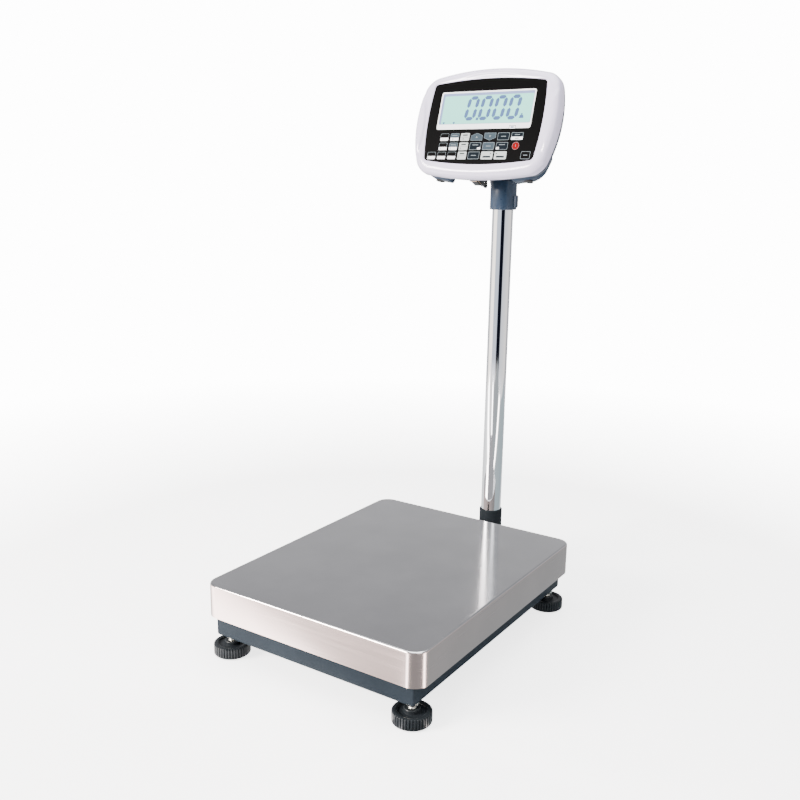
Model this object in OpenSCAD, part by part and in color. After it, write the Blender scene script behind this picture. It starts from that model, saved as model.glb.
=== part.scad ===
// Bench scale with a column-mounted indicator.
// Frame: +X to the user's right, -Y towards the user, +Z up, origin on the
// table under the middle of the whole scale. Millimetres.

/* [Platform] */
// Width of the weighing pan
pan_w = 400; // [380:5:420]
// Depth of the weighing pan, front to back
pan_d = 500; // [480:5:520]
// Height of the pan's top above the table
pan_top_z = 122.5; // [121.5:0.5:126]
// Height of the pan's skirt
skirt_h = 54; // [50:1:55]
// Radius of the pan's upright corners
pan_corner_r = 24; // [18:1:30]
// Sheet thickness of the pan
pan_t = 1.2; // [1:0.1:1.5]

/* [Base frame] */
// Width of the steel base frame
frame_w = 368; // [364:1:372]
// Depth of the steel base frame
frame_d = 480; // [476:1:484]
// Underside of the base frame above the table
frame_z = 34.5; // [34:0.5:36]
// Height of the frame's folded channel
frame_h = 40; // [38:1:42]
// Sheet thickness of the frame
frame_t = 2.5; // [2:0.5:3]
// Width of the frame's inward flanges
flange_w = 26; // [24:1:28]

/* [Levelling feet] */
// Distance of each foot's axis from the middle, left and right
foot_x = 170; // [166:1:172]
// Distance of each foot's axis from the middle, front and back
foot_y = 221; // [216:1:222]
// Radius of the ribbed adjusting wheel
wheel_r = 29; // [26:1:30]
// Top of the wheel's rim above the table
wheel_top_z = 19.5; // [18:0.5:21]
// Number of grip grooves round a wheel
grip_count = 40; // [24:2:48]

/* [Column] */
// Outer diameter of the column tube
tube_d = 38; // [36:0.5:40]
// Wall of the column tube
tube_t = 1.5; // [1:0.25:2]
// Distance from the pan's rear edge to the column's axis
column_gap = 73; // [70:1:78]
// Height of the column tube's top end above the table
tube_top_z = 738; // [700:1:760]

/* [Indicator] */
// Width of the indicator's shell at its widest
shell_w = 272; // [268:1:276]
// Height of the indicator's shell over its crowns
shell_h = 193; // [190:1:196]
// Depth of the indicator, face to back
shell_depth = 48; // [47:1:50]
// How far the face leans back from upright
face_tilt = 17; // [14:1:20]
// Height of the face's middle above the tube's top end
face_rise = 100; // [98:1:104]
// Distance from the column's axis forward to the face's middle
face_gap = 86; // [84:1:90]

/* [Hidden] */
$fn = 64;

// fits
running_gap = 0.05;     // radial gap of a pin or thread in its hole
part_gap = 0.3;         // gap between pieces that move past each other

// whole-object layout: the column's lock bolts are the rearmost point
tube_r = tube_d / 2;
bolt_reach = 34;
front_reach = max(pan_d / 2, foot_y + wheel_r);
pan_y = (front_reach - pan_d / 2 - column_gap - bolt_reach) / 2;
column_y = pan_y + pan_d / 2 + column_gap;
skirt_z = pan_top_z - skirt_h;

// M8, M6, M12 hardware
m8_r = 4;
m8_flat = 13;
m8_head_h = 5.3;
m6_r = 3;
m6_flat = 10;
m6_head_h = 4;
m12_r = 6;
m12_flat = 19;
lock_nut_h = 6;

// levelling feet
pad_r = 22;
pad_h = 3.2;
pivot_r = 5;
pivot_top_z = 9;
wheel_z = 1.5;
wheel_hub_r = 12;
wheel_hub_z = 23;
dish_r = 21;
dish_z = 16.5;
grip_r = 1.3;
stud_top_z = 63;
bush_r = 10;
bush_top_z = 52;
foot_plate_t = 4;
foot_plate_w = 44;
feet = [[-1, -1], [1, -1], [-1, 1], [1, 1]];

// base frame and load cell
frame_top_z = frame_z + frame_h;
beam_w = 90;
beam_t = 3;
beam_top_z = 52;
cell_l = 150;
cell_w = 40;
cell_h = 22;
spacer_h = 6;
spacer_l = 46;
cell_z = beam_top_z + spacer_h;
cell_bolt_xs = [62, 37];
cell_pocket_r = 7;
cell_pocket_x = 14;
upper_z = cell_z + cell_h + spacer_h;
arm_w = 25;
arm_t = 2;
arm_x = 130;
arm_l = 472;
cross_y = 70;
centre_plate_t = 5;
buffer_y = 200;
buffer_r = 12;
buffer_stem_r = 4;
stop_y = 227;
stop_gap = 1;
stop_depth = 14;
stop_nut_h = 4;
cable_hole_r = 7;
cable_hole_z = 50.5;

// column bracket
bracket_w = 64;
bracket_t = 3;
bracket_z = 38;
bracket_top_z = 63;
bracket_rear = 30;
bracket_flange_w = 112;
bracket_flange_t = 3.6;
bracket_bolt_x = 44;
bracket_bolt_z = [44, 58];
socket_r = tube_r + 2.7;
socket_bore_r = tube_r + 0.5;
socket_top_z = 121;
socket_boss_r = 8;
socket_bolt_z = [80, 105];

// collar and head; cheek points are measured from the column's axis and the collar's top
collar_r = tube_r + 5;
collar_z = tube_top_z - 48;
collar_bore_r = tube_r + running_gap;
collar_top_z = tube_top_z + 3;
collar_inner_r = 14;
clamp_x = 28;
clamp_w = 10;
clamp_z = [collar_z + 2, collar_z + 26];
clamp_screw_r = 2.5;
cheek_in_x = 14;
cheek_out_x = 23;
cheek_front_y = -12;
cheek_rear_y = 20;
cheek_rear_rise = 16;
cheek_front_rise = 21;
face_z = tube_top_z + face_rise;
pivot_depth = 58;
pivot_drop = -35;
pivot_boss_r = 13;
lug_half_w = cheek_in_x - part_gap;
pivot_y = -face_gap + pivot_depth * cos(face_tilt) + pivot_drop * sin(face_tilt);
pivot_z = face_z - pivot_depth * sin(face_tilt) + pivot_drop * cos(face_tilt);

// indicator shells, in the head's own frame: x right, y depth behind the face, z up
bezel_y = -1;
parting_y = 18;
shell_wall = 3;
front_inset = 11;
rear_rim_y = 30;
rear_inset = 13;
crown_top = 17.5;
crown_bottom = 11.3;
side_bulge = 15;
side_taper = 0.029;
shell_top_z = 96;
shell_half_w = shell_w / 2 - side_bulge + 0.6;
shell_half_h = (shell_h - crown_top - crown_bottom) / 2;
shell_mid_z = shell_top_z - crown_top - shell_half_h;
shell_corner_r = 18;
leg_in_x = 56;
leg_out_x = 120;
leg_top_z = -50;
leg_inset = 11;
leg_drop = 13;
rim_inset = 4;
leg_y = 46;
shell_foot_x = 86;
shell_foot_y = 37;
shell_foot_r = 8;
shell_foot_z = -91;
shell_foot_h = 2;

// the recess in the rear shell for the collar's cheeks and the serial plug
recess_half_w = 56;
recess_top_z = -8;
recess_floor_y = 32;
recess_slope = 9;

// face overlay, display window and keys
overlay_w = 210;
overlay_h = 134;
overlay_t = 1.5;
overlay_corner_r = 5;
overlay_crown = 7.5;
overlay_bulge = 5;
overlay_taper = 0.01;
window_w = 181;
window_h = 67;
window_z = 20;
window_gap = 0.3;
window_r = 4;
lcd_view_w = 172;
lcd_view_h = 58;
lcd_w = 174;
lcd_h = 62;
lcd_t = 7;
key_t = 1;
key_proud = 0.3;
key_gap = 0.3;
key_corner_r = 1.6;
key_small = 17.2;
key_wide = 22.8;
key_tall = 13.8;
row_1 = -27;
row_2 = -43.4;
row_3 = -59.4;

// name, x, z, width, height, outline
keys = [
    ["key_7", -70.3, row_1, key_small, key_tall, "pad"],
    ["key_8", -50, row_1, key_small, key_tall, "pad"],
    ["key_9", -29.7, row_1, key_small, key_tall, "pad"],
    ["key_up", -6.8, row_1, key_wide, key_tall, "up"],
    ["key_down", 18.6, row_1, key_wide, key_tall, "down"],
    ["key_preset", 44, row_1, key_wide, key_tall, "pad"],
    ["key_units", 69.4, row_1, key_wide, key_tall, "pad"],
    ["key_4", -70.3, row_2, key_small, key_tall, "pad"],
    ["key_5", -50, row_2, key_small, key_tall, "pad"],
    ["key_6", -29.7, row_2, key_small, key_tall, "pad"],
    ["key_print", -6.8, row_2, key_wide, key_tall, "pad"],
    ["key_count", 18.6, row_2, key_wide, key_tall, "pad"],
    ["key_gross", 44, row_2, key_wide, key_tall, "pad"],
    ["key_on", 69.4, row_2, key_tall, key_tall, "round"],
    ["key_0", -90.6, row_3, key_small, key_tall, "pad"],
    ["key_1", -70.3, row_3, key_small, key_tall, "pad"],
    ["key_2", -50, row_3, key_small, key_tall, "pad"],
    ["key_3", -29.7, row_3, key_small, key_tall, "pad"],
    ["key_clear", -6.8, row_3, key_wide, key_tall, "pad"],
    ["key_zero", 18.6, row_3, key_wide, key_tall, "pad"],
    ["key_tare", 44, row_3, key_wide, key_tall, "pad"],
    ["key_off", 90.2, row_3, 18, key_tall, "pad"],
];

// screws that join the shells, x and z in the head's frame
shell_screw_xz = [[-94, 56], [94, 56], [-94, -62], [94, -62]];
shell_screw_r = 1.5;
shell_screw_tip_y = 8;
shell_screw_head_y = 40;
shell_screw_head_r = 2.9;
shell_screw_head_h = 2.4;
front_boss_y = 4;
front_boss_r = 4;
rear_boss_r = 5;
rear_boss_h = 27.3;

// circuit board: its corner and size, then x, z and size of each large part on it
board_at = [-60, 14, -72];
board_size = [120, 1.6, 76];
board_parts = [
    [-52, -30, [22, 9, 26]], [-20, -28, [16, 3, 16]], [10, -34, [30, 6, 8]], [-50, -64, [12, 8, 9]],
];
battery_size = [97, 24, 52];
battery_y = 20;

// serial plug, on edge, on the recess floor
plug_x = -17;
plug_z = -79;
plug_t = 14;
plug_w = 31;
plug_l = 30;
relief_r = 4.5;
relief_l = 7;
socket_w = 10.6;
socket_h = 19.4;
socket_l = 7;
socket_flange_t = 1;
socket_flange_w = 12.4;
socket_flange_h = 30.8;
hood_l = 18;
hood_inset = 0.6;
throat_inset = 1;
throat_low = 5;
throat_w = 19;
relief_z = -4;
cable_r = 2.5;
jack_xz = [-80, -24];
jack_r = 5.8;
jack_bore_r = 3.1;

// cable from the plug, round the collar's left side and in at its open top:
// x, y from the column's axis, z from the tube's top
plug_cable_route = [
    [-17, -46.8, -4.6], [-17.2, -40.5, -7.8], [-18.5, -33.5, -8.5], [-20.5, -28.5, -5.5],
    [-22, -26.5, 0], [-21.5, -26, 5.5], [-18, -25, 10.5], [-12.5, -22.5, 13.5],
    [-7, -18, 14.5], [-2.5, -12.5, 13], [-0.5, -7.5, 8.5], [0, -3.5, 2], [0, -1.5, -3],
];
// load-cell cable, from the cell through the frame and up the tube: x, y from
// the column's axis, z
cell_cable_route = [
    [-78, -323, 69], [-92, -322, 68], [-104, -314, 64], [-110, -298, 60], [-110, -260, 58],
    [-108, -215, 57], [-98, -180, 56], [-78, -155, 55], [-50, -138, 54], [-25, -125, 53],
    [-8, -110, 52], [0, -95, 51], [0, -70, 50.5], [0, -40, 50], [0, -20, 50], [0, -7, 52],
    [0, 1, 58], [0, 5, 66], [0, 9, 78], [0, 13, 100], [0, 14.2, 130], [0, 14.2, 250],
    [0, 14.2, 400], [0, 14.2, 550], [0, 14.2, 640], [0, 14.2, tube_top_z - 10],
];
cable_sides = 8;

// ---- helpers -------------------------------------------------------------

module at_column() translate([0, column_y, 0]) children();

module at_pan() translate([0, pan_y, 0]) children();

// The head's own frame: origin at the middle of the face
module in_head() at_column()
    translate([0, -face_gap, face_z]) rotate([-face_tilt, 0, 0]) children();

module rounded_rect(w, h, r) {
    square([w - 2 * r, h], center = true);
    square([w, h - 2 * r], center = true);
    for (x = [-1, 1], y = [-1, 1]) translate([x * (w / 2 - r), y * (h / 2 - r)]) circle(r = r);
}

// A flat outline in x and z, thickened from depth y0 to depth y1
module slab(y0, y1) translate([0, y1, 0]) rotate([90, 0, 0]) linear_extrude(y1 - y0) children();

module hex(flat, h) cylinder(r = flat / sqrt(3), h = h, $fn = 6);

module box_from(lo, hi) translate(lo) cube(hi - lo);

// A hollow cylinder
module ring(r_out, r_in, h) difference() {
    cylinder(r = r_out, h = h);
    translate([0, 0, -1]) cylinder(r = r_in, h = h + 2);
}

// Corner arcs and split edges of a rounded rectangle, as one closed path
function corner(cx, cz, r, a0) =
    [for (i = [0 : 6]) [cx + r * cos(a0 + 15 * i), cz + r * sin(a0 + 15 * i)]];
function between(p, q, n) = [for (i = [1 : n - 1]) p + (q - p) * i / n];
function rounded_path(a, b, r) = let (x = a - r, z = b - r) concat(
    corner(x, z, r, 0), between([x, b], [-x, b], 10),
    corner(-x, z, r, 90), between([-a, z], [-a, -z], 8),
    corner(-x, -z, r, 180), between([-x, -b], [x, -b], 10),
    corner(x, -z, r, 270), between([a, -z], [a, z], 8));

// Crowned top and bottom, bulged sides, and a taper that narrows the bottom
function bowed(p, a, b, up, down, bulge, taper) = [
    p.x * (1 + taper * p.y / b) + bulge * p.x / a * (1 - pow(p.y / b, 2)),
    p.y + (p.y > 0 ? up : down) * p.y / b * (1 - pow(p.x / a, 2)),
];

// The indicator's outline, drawn in by inset all round
module shell_outline(inset) {
    a = shell_half_w - inset;
    b = shell_half_h - inset;
    path = rounded_path(a, b, shell_corner_r - inset / 3);
    translate([0, shell_mid_z])
        polygon([for (p = path) bowed(p, a, b, crown_top, crown_bottom, side_bulge, side_taper)]);
}

module overlay_outline(inset) {
    a = overlay_w / 2 - inset;
    b = overlay_h / 2 - inset;
    path = rounded_path(a, b, overlay_corner_r);
    polygon([for (p = path)
        bowed(p, a, b, overlay_crown, overlay_crown, overlay_bulge, overlay_taper)]);
}

// Points along a smooth curve through route, n to each stretch
function pick(route, i) = route[max(0, min(len(route) - 1, i))];
function blend_at(p0, p1, p2, p3, t) = 0.5 * (2 * p1 + (p2 - p0) * t
    + (2 * p0 - 5 * p1 + 4 * p2 - p3) * t * t + (3 * p1 - p0 - 3 * p2 + p3) * t * t * t);
function smooth(route, n) = concat(
    [for (i = [0 : len(route) - 2], k = [0 : n - 1])
        blend_at(pick(route, i - 1), route[i], route[i + 1], pick(route, i + 2), k / n)],
    [route[len(route) - 1]]);
function unit(v) = v / norm(v);
function heading(path, i) = unit(pick(path, i + 1) - pick(path, i - 1));

// One ring of a cable about a path point; the cable never runs along side_ref
side_ref = [1, 0.13, 0.21];
function ring_points(path, i, r) = let (
    t = heading(path, i), u = unit(cross(t, side_ref)), v = cross(t, u)) [
    for (k = [0 : cable_sides - 1])
        path[i] + r * (u * cos(360 * k / cable_sides) + v * sin(360 * k / cable_sides))];

module cable(route, n, r) {
    path = smooth(route, n);
    s = cable_sides;
    last = len(path) - 1;
    points = [for (i = [0 : last]) each ring_points(path, i, r)];
    sides = [for (i = [0 : last - 1], k = [0 : s - 1])
        [i * s + k, i * s + (k + 1) % s, (i + 1) * s + (k + 1) % s, (i + 1) * s + k]];
    ends = [[for (k = [s - 1 : -1 : 0]) k], [for (k = [0 : s - 1]) last * s + k]];
    polyhedron(points, concat(sides, ends));
}

// ---- base ----------------------------------------------------------------

// Axis of the foot at a corner, within at_pan
module at_foot(corner_signs)
    translate([corner_signs.x * foot_x, corner_signs.y * foot_y, 0]) children();

// Holes through the frame's rear wall and the bracket's flange
module frame_wall_cuts() translate([0, frame_d / 2 - 10, 0]) {
    for (x = [-1, 1], z = bracket_bolt_z) translate([x * bracket_bolt_x, 0, z]) rotate([-90, 0, 0])
        cylinder(r = m8_r + running_gap, h = 20);
    translate([0, 0, cable_hole_z]) rotate([-90, 0, 0]) cylinder(r = cable_hole_r, h = 20);
}

// Folded channel round all four sides, open inwards
module base_frame() color("slategray") at_pan() difference() {
    translate([0, 0, frame_z]) linear_extrude(frame_h) square([frame_w, frame_d], center = true);
    translate([0, 0, frame_z + frame_t]) linear_extrude(frame_h - 2 * frame_t)
        square([frame_w - 2 * frame_t, frame_d - 2 * frame_t], center = true);
    translate([0, 0, frame_z - 1]) linear_extrude(frame_h + 2)
        square([frame_w - 2 * flange_w, frame_d - 2 * flange_w], center = true);
    for (f = feet) at_foot(f) cylinder(r = bush_r + running_gap, h = frame_z + frame_h / 2);
    for (f = feet) translate([f.x * arm_x, f.y * stop_y, frame_top_z - 5])
        cylinder(r = m8_r + running_gap, h = 10);
    frame_wall_cuts();
}

// Beam under the load cell, folded down at both edges, standing on the frame's flanges
module cross_beam() color("slategray") at_pan() difference() {
    half = frame_w / 2 - frame_t;
    foot = frame_z + frame_t;
    union() {
        box_from([-half, -beam_w / 2, beam_top_z - beam_t], [half, beam_w / 2, beam_top_z]);
        box_from([-half, -beam_w / 2, foot], [half, -beam_w / 2 + beam_t, beam_top_z]);
        box_from([-half, beam_w / 2 - beam_t, foot], [half, beam_w / 2, beam_top_z]);
    }
    for (x = cell_bolt_xs) translate([-x, 0, foot]) cylinder(r = m6_r + running_gap, h = 20);
}

// Corner plates with the feet's threaded bushes
module foot_plates() color("slategray") at_pan() for (f = feet) difference() {
    x = f.x * ((frame_w - foot_plate_w) / 2 - frame_t);
    y = f.y * ((frame_d - foot_plate_w) / 2 - frame_t);
    union() {
        translate([x, y, frame_z + frame_t + foot_plate_t / 2])
            cube([foot_plate_w, foot_plate_w, foot_plate_t], center = true);
        at_foot(f) translate([0, 0, frame_z]) cylinder(r = bush_r, h = bush_top_z - frame_z);
    }
    at_foot(f) cylinder(r = m12_r + running_gap, h = 100);
}

module foot_lock_nuts() color("silver") at_pan()
    for (f = feet) at_foot(f) translate([0, 0, frame_z - lock_nut_h]) difference() {
        hex(m12_flat, lock_nut_h);
        translate([0, 0, -1]) cylinder(r = m12_r + running_gap, h = lock_nut_h + 2);
    }

module foot_pad(i) color("dimgray") at_pan() at_foot(feet[i]) {
    cylinder(r = pad_r, h = pad_h);
    cylinder(r = pivot_r, h = pivot_top_z);
}

// Ribbed wheel with its moulded-in stud
module foot_screw(i) color("black") at_pan() at_foot(feet[i]) difference() {
    union() {
        translate([0, 0, wheel_z]) cylinder(r = wheel_r, h = wheel_top_z - wheel_z);
        translate([0, 0, wheel_z]) cylinder(r = wheel_hub_r, h = wheel_hub_z - wheel_z);
        translate([0, 0, dish_z - 2]) cylinder(r = m12_r, h = stud_top_z - dish_z + 2);
    }
    translate([0, 0, dish_z]) ring(dish_r, wheel_hub_r, 10);
    translate([0, 0, wheel_z - 1]) cylinder(r = pad_r + part_gap, h = pad_h + part_gap - wheel_z + 1);
    translate([0, 0, wheel_z]) cylinder(r = pivot_r + running_gap, h = pivot_top_z + part_gap - wheel_z);
    for (k = [0 : grip_count - 1]) rotate(360 * k / grip_count) translate([wheel_r + 0.2, 0, wheel_z + 2])
        cylinder(r = grip_r, h = wheel_top_z, $fn = 12);
}

module load_cell() color("gainsboro") at_pan() difference() {
    translate([0, 0, cell_z + cell_h / 2]) cube([cell_l, cell_w, cell_h], center = true);
    // the two joined pockets that make it bend
    translate([0, cell_w / 2 + 1, cell_z + cell_h / 2]) rotate([90, 0, 0]) {
        for (x = [-1, 1]) translate([x * cell_pocket_x, 0, 0]) cylinder(r = cell_pocket_r, h = cell_w + 2);
        translate([-cell_pocket_x, -1.5, 0]) cube([2 * cell_pocket_x, 3, cell_w + 2]);
    }
    for (e = [-1, 1], x = cell_bolt_xs) translate([e * x, 0, cell_z - 1])
        cylinder(r = m6_r + running_gap, h = cell_h + 2);
}

module cell_spacers() color("darkgray") at_pan()
    for (e = [-1, 1]) difference() {
        z = e < 0 ? beam_top_z : cell_z + cell_h;
        translate([e * (cell_l - spacer_l) / 2, 0, z + spacer_h / 2])
            cube([spacer_l, cell_w, spacer_h], center = true);
        for (x = cell_bolt_xs) translate([e * x, 0, beam_top_z - 1])
            cylinder(r = m6_r + running_gap, h = upper_z - beam_top_z + 2);
    }

// Two bolts up through the beam, two down through the upper frame
module cell_bolts() {
    for (x = cell_bolt_xs) translate([-x, 0, beam_top_z - beam_t]) {
        translate([0, 0, -m6_head_h]) hex(m6_flat, m6_head_h);
        cylinder(r = m6_r, h = 24);
    }
    for (x = cell_bolt_xs) translate([x, 0, upper_z + centre_plate_t]) {
        hex(m6_flat, m6_head_h);
        translate([0, 0, -24]) cylinder(r = m6_r, h = 24);
    }
}

module square_tube(l, along_y) rotate(along_y ? 90 : 0) difference() {
    translate([0, 0, arm_w / 2]) cube([l, arm_w, arm_w], center = true);
    translate([0, 0, arm_w / 2]) cube([l + 2, arm_w - 2 * arm_t, arm_w - 2 * arm_t], center = true);
}

module upper_frame() color("slategray") at_pan() difference() {
    translate([0, 0, upper_z]) {
        for (x = [-1, 1]) translate([x * arm_x, 0, 0]) square_tube(arm_l, true);
        for (y = [-1, 1]) translate([0, y * cross_y, 0]) square_tube(2 * arm_x - arm_w, false);
        box_from([20, -cross_y + arm_w / 2, 0], [92, cross_y - arm_w / 2, centre_plate_t]);
    }
    for (x = cell_bolt_xs) translate([x, 0, upper_z - 5]) cylinder(r = m6_r + running_gap, h = 20);
    for (f = feet) translate([f.x * arm_x, f.y * buffer_y, upper_z + arm_w - 5])
        cylinder(r = buffer_stem_r + running_gap, h = 10);
}

// Adjustable screws that catch the upper frame when the pan is overloaded
module overload_stops() for (f = feet)
    translate([f.x * arm_x, f.y * stop_y, frame_top_z]) {
        head = upper_z - stop_gap - m8_head_h - frame_top_z;
        translate([0, 0, head]) hex(m8_flat, m8_head_h);
        translate([0, 0, -stop_depth]) cylinder(r = m8_r, h = head + stop_depth);
        difference() {
            hex(m8_flat, stop_nut_h);
            translate([0, 0, -1]) cylinder(r = m8_r + running_gap, h = stop_nut_h + 2);
        }
    }

// The load cell's bolts, and the overload stops with their nuts
module frame_bolts() color("silver") at_pan() {
    cell_bolts();
    overload_stops();
}

module pan_buffers() color("dimgray") at_pan()
    for (f = feet) translate([f.x * arm_x, f.y * buffer_y, upper_z + arm_w]) {
        cylinder(r = buffer_r, h = pan_top_z - pan_t - upper_z - arm_w);
        translate([0, 0, -6]) cylinder(r = buffer_stem_r, h = 7);
    }

module cell_cable() color("black") at_column() cable(cell_cable_route, 3, cable_r);

module pan() color("lightgray") at_pan() difference() {
    translate([0, 0, skirt_z]) linear_extrude(skirt_h) rounded_rect(pan_w, pan_d, pan_corner_r);
    translate([0, 0, skirt_z - 1]) linear_extrude(skirt_h - pan_t + 1)
        rounded_rect(pan_w - 2 * pan_t, pan_d - 2 * pan_t, pan_corner_r - pan_t);
}

// ---- column --------------------------------------------------------------

module socket_bolt_holes(r) at_column() for (z = socket_bolt_z)
    translate([0, 0, z]) rotate([-90, 0, 0]) cylinder(r = r, h = bolt_reach + 1);

module column_bracket() color("darkslategray") difference() {
    union() {
        // channel that reaches back under the pan's skirt
        rear = column_y + bracket_rear;
        front = pan_y + frame_d / 2;
        box_from([-bracket_w / 2, front, bracket_top_z - bracket_t], [bracket_w / 2, rear, bracket_top_z]);
        for (x = [-1, 1]) translate([x > 0 ? bracket_w / 2 - bracket_t : -bracket_w / 2, front, bracket_z])
            cube([bracket_t, rear - front, bracket_top_z - bracket_z]);
        box_from([-bracket_w / 2, rear - bracket_t, bracket_z], [bracket_w / 2, rear, bracket_top_z]);
        // flange against the frame's rear wall
        box_from([-bracket_flange_w / 2, front, bracket_z - 1],
            [bracket_flange_w / 2, front + bracket_flange_t, bracket_top_z + 1]);
        // socket tube and its weld nuts
        at_column() translate([0, 0, bracket_top_z])
            cylinder(r = socket_r, h = socket_top_z - bracket_top_z);
        at_column() for (z = socket_bolt_z) translate([0, 0, z]) rotate([-90, 0, 0])
            cylinder(r = socket_boss_r, h = bolt_reach - m8_head_h);
    }
    at_column() translate([0, 0, bracket_top_z]) cylinder(r = socket_bore_r, h = 100);
    at_column() translate([0, 0, bracket_top_z - 10]) cylinder(r = 10, h = 20);
    socket_bolt_holes(m8_r + running_gap);
    at_pan() frame_wall_cuts();
}

// Four through the frame's rear wall, two that lock the tube in its socket
module bracket_bolts() color("silver") {
    at_pan() for (x = [-1, 1], z = bracket_bolt_z)
        translate([x * bracket_bolt_x, frame_d / 2, z]) rotate([-90, 0, 0]) {
            translate([0, 0, bracket_flange_t]) hex(m8_flat, m8_head_h);
            translate([0, 0, -12]) cylinder(r = m8_r, h = 12 + bracket_flange_t);
            translate([0, 0, -frame_t - 6]) difference() {
                hex(m8_flat, 6);
                translate([0, 0, -1]) cylinder(r = m8_r + running_gap, h = 8);
            }
        }
    tip = tube_r + running_gap;
    under_head = bolt_reach - m8_head_h;
    at_column() for (z = socket_bolt_z) translate([0, 0, z]) rotate([-90, 0, 0]) {
        translate([0, 0, under_head]) hex(m8_flat, m8_head_h);
        translate([0, 0, tip]) cylinder(r = m8_r, h = under_head - tip);
    }
}

module column_tube() color("gainsboro") at_column() translate([0, 0, bracket_top_z])
    ring(tube_r, tube_r - tube_t, tube_top_z - bracket_top_z);

// ---- swivelling collar ---------------------------------------------------

// Side view of one cheek: from the sleeve's rear up and forward to the pivot
module cheek_outline() {
    base_z = collar_top_z - 4;
    polygon([
        [cheek_front_y, base_z], [cheek_rear_y, base_z],
        [cheek_rear_y, collar_top_z + cheek_rear_rise],
        [pivot_y + 8, pivot_z + 10.2], [pivot_y - 9, pivot_z - 9.4],
        [cheek_front_y, collar_top_z + cheek_front_rise],
    ]);
    translate([pivot_y, pivot_z]) circle(r = pivot_boss_r);
}

module collar() color("slategray") at_column() difference() {
    union() {
        translate([0, 0, collar_z]) cylinder(r = collar_r, h = collar_top_z - collar_z);
        // clamp boss on the right
        box_from([0, -clamp_w / 2, clamp_z[0]], [clamp_x, clamp_w / 2, clamp_z[1]]);
        // two cheeks that hold the indicator's lug
        for (x = [-cheek_out_x, cheek_in_x]) translate([x, 0, 0]) rotate([90, 0, 90])
            linear_extrude(cheek_out_x - cheek_in_x) cheek_outline();
        // wall that ties the cheeks at the back
        box_from([-cheek_in_x - 1, cheek_rear_y - 5, collar_top_z - 4],
            [cheek_in_x + 1, cheek_rear_y, collar_top_z + cheek_rear_rise]);
    }
    translate([0, 0, collar_z - 1])
        cylinder(r = collar_bore_r, h = tube_top_z + part_gap - collar_z + 1);
    translate([0, 0, collar_z]) cylinder(r = collar_inner_r, h = 100);
    translate([0, 0, (clamp_z[0] + clamp_z[1]) / 2]) rotate([0, 90, 0])
        cylinder(r = clamp_screw_r + running_gap, h = 40);
    translate([-40, pivot_y, pivot_z]) rotate([0, 90, 0]) cylinder(r = m8_r + running_gap, h = 80);
}

module collar_screw() color("dimgray") at_column()
    translate([tube_r + part_gap, 0, (clamp_z[0] + clamp_z[1]) / 2]) rotate([0, 90, 0]) {
        l = clamp_x - tube_r - part_gap - 1;
        difference() {
            cylinder(r = clamp_screw_r, h = l);
            translate([0, 0, l - 3]) cylinder(r = 1.4, h = 4, $fn = 6);
        }
    }

module tilt_bolt() color("silver") at_column() translate([0, pivot_y, pivot_z]) rotate([0, 90, 0]) {
    translate([0, 0, -cheek_out_x]) cylinder(r = m8_r, h = 2 * cheek_out_x + 7);
    translate([0, 0, -cheek_out_x - m8_head_h]) hex(m8_flat, m8_head_h);
    translate([0, 0, cheek_out_x]) difference() {
        hex(m8_flat, 6.5);
        translate([0, 0, -1]) cylinder(r = m8_r + running_gap, h = 9);
    }
}

// ---- indicator -----------------------------------------------------------

// Along the depth axis, at a point of the face given as x and z
module at_face(p, y) translate([p.x, y, p.y]) rotate([-90, 0, 0]) children();

module front_shell() color("white") in_head() difference() {
    union() {
        difference() {
            hull() {
                slab(bezel_y, bezel_y + 0.5) shell_outline(front_inset);
                slab(4, 5) shell_outline(3);
                slab(12, parting_y) shell_outline(0);
            }
            hull() {
                slab(overlay_t + shell_wall, overlay_t + shell_wall + 1)
                    shell_outline(front_inset + shell_wall);
                slab(12, parting_y + 1) shell_outline(shell_wall);
            }
        }
        for (p = shell_screw_xz) at_face(p, front_boss_y)
            cylinder(r = front_boss_r, h = parting_y - part_gap - front_boss_y);
    }
    // seat for the overlay, and the opening for the display
    slab(bezel_y - 1, overlay_t) overlay_outline(-part_gap);
    slab(bezel_y, 10) translate([0, window_z]) square([lcd_view_w, lcd_view_h], center = true);
    for (p = shell_screw_xz) at_face(p, shell_screw_tip_y - 1)
        cylinder(r = shell_screw_r + running_gap, h = 12);
}

// Outer form of the rear shell, drawn in by inset
module rear_form(inset, y0, y1) {
    hull() {
        slab(y0, y0 + 4) shell_outline(1 + inset);
        slab(rear_rim_y - 1, rear_rim_y) shell_outline(rim_inset + inset);
        slab(y1 - 1, y1) shell_outline(rear_inset + inset);
    }
    // lower corners kept full, as legs for standing the indicator on a table
    intersection() {
        slab(rear_rim_y - 4, leg_y - inset) translate([0, -leg_drop]) shell_outline(leg_inset + inset);
        for (x = [-1, 1]) translate([x * (leg_in_x + leg_out_x) / 2, 0, leg_top_z - 50 - inset])
            cube([leg_out_x - leg_in_x - 2 * inset, 200, 100], center = true);
    }
}

// On the recess floor, with +y square out of it
module at_recess(x) translate([x, recess_floor_y, plug_z]) rotate([-recess_slope, 0, 0]) children();

module recess(grow) at_recess(0) translate([-recess_half_w - grow, -grow, -50])
    cube([2 * (recess_half_w + grow), 100, recess_top_z - plug_z + 50 + grow]);

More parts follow.
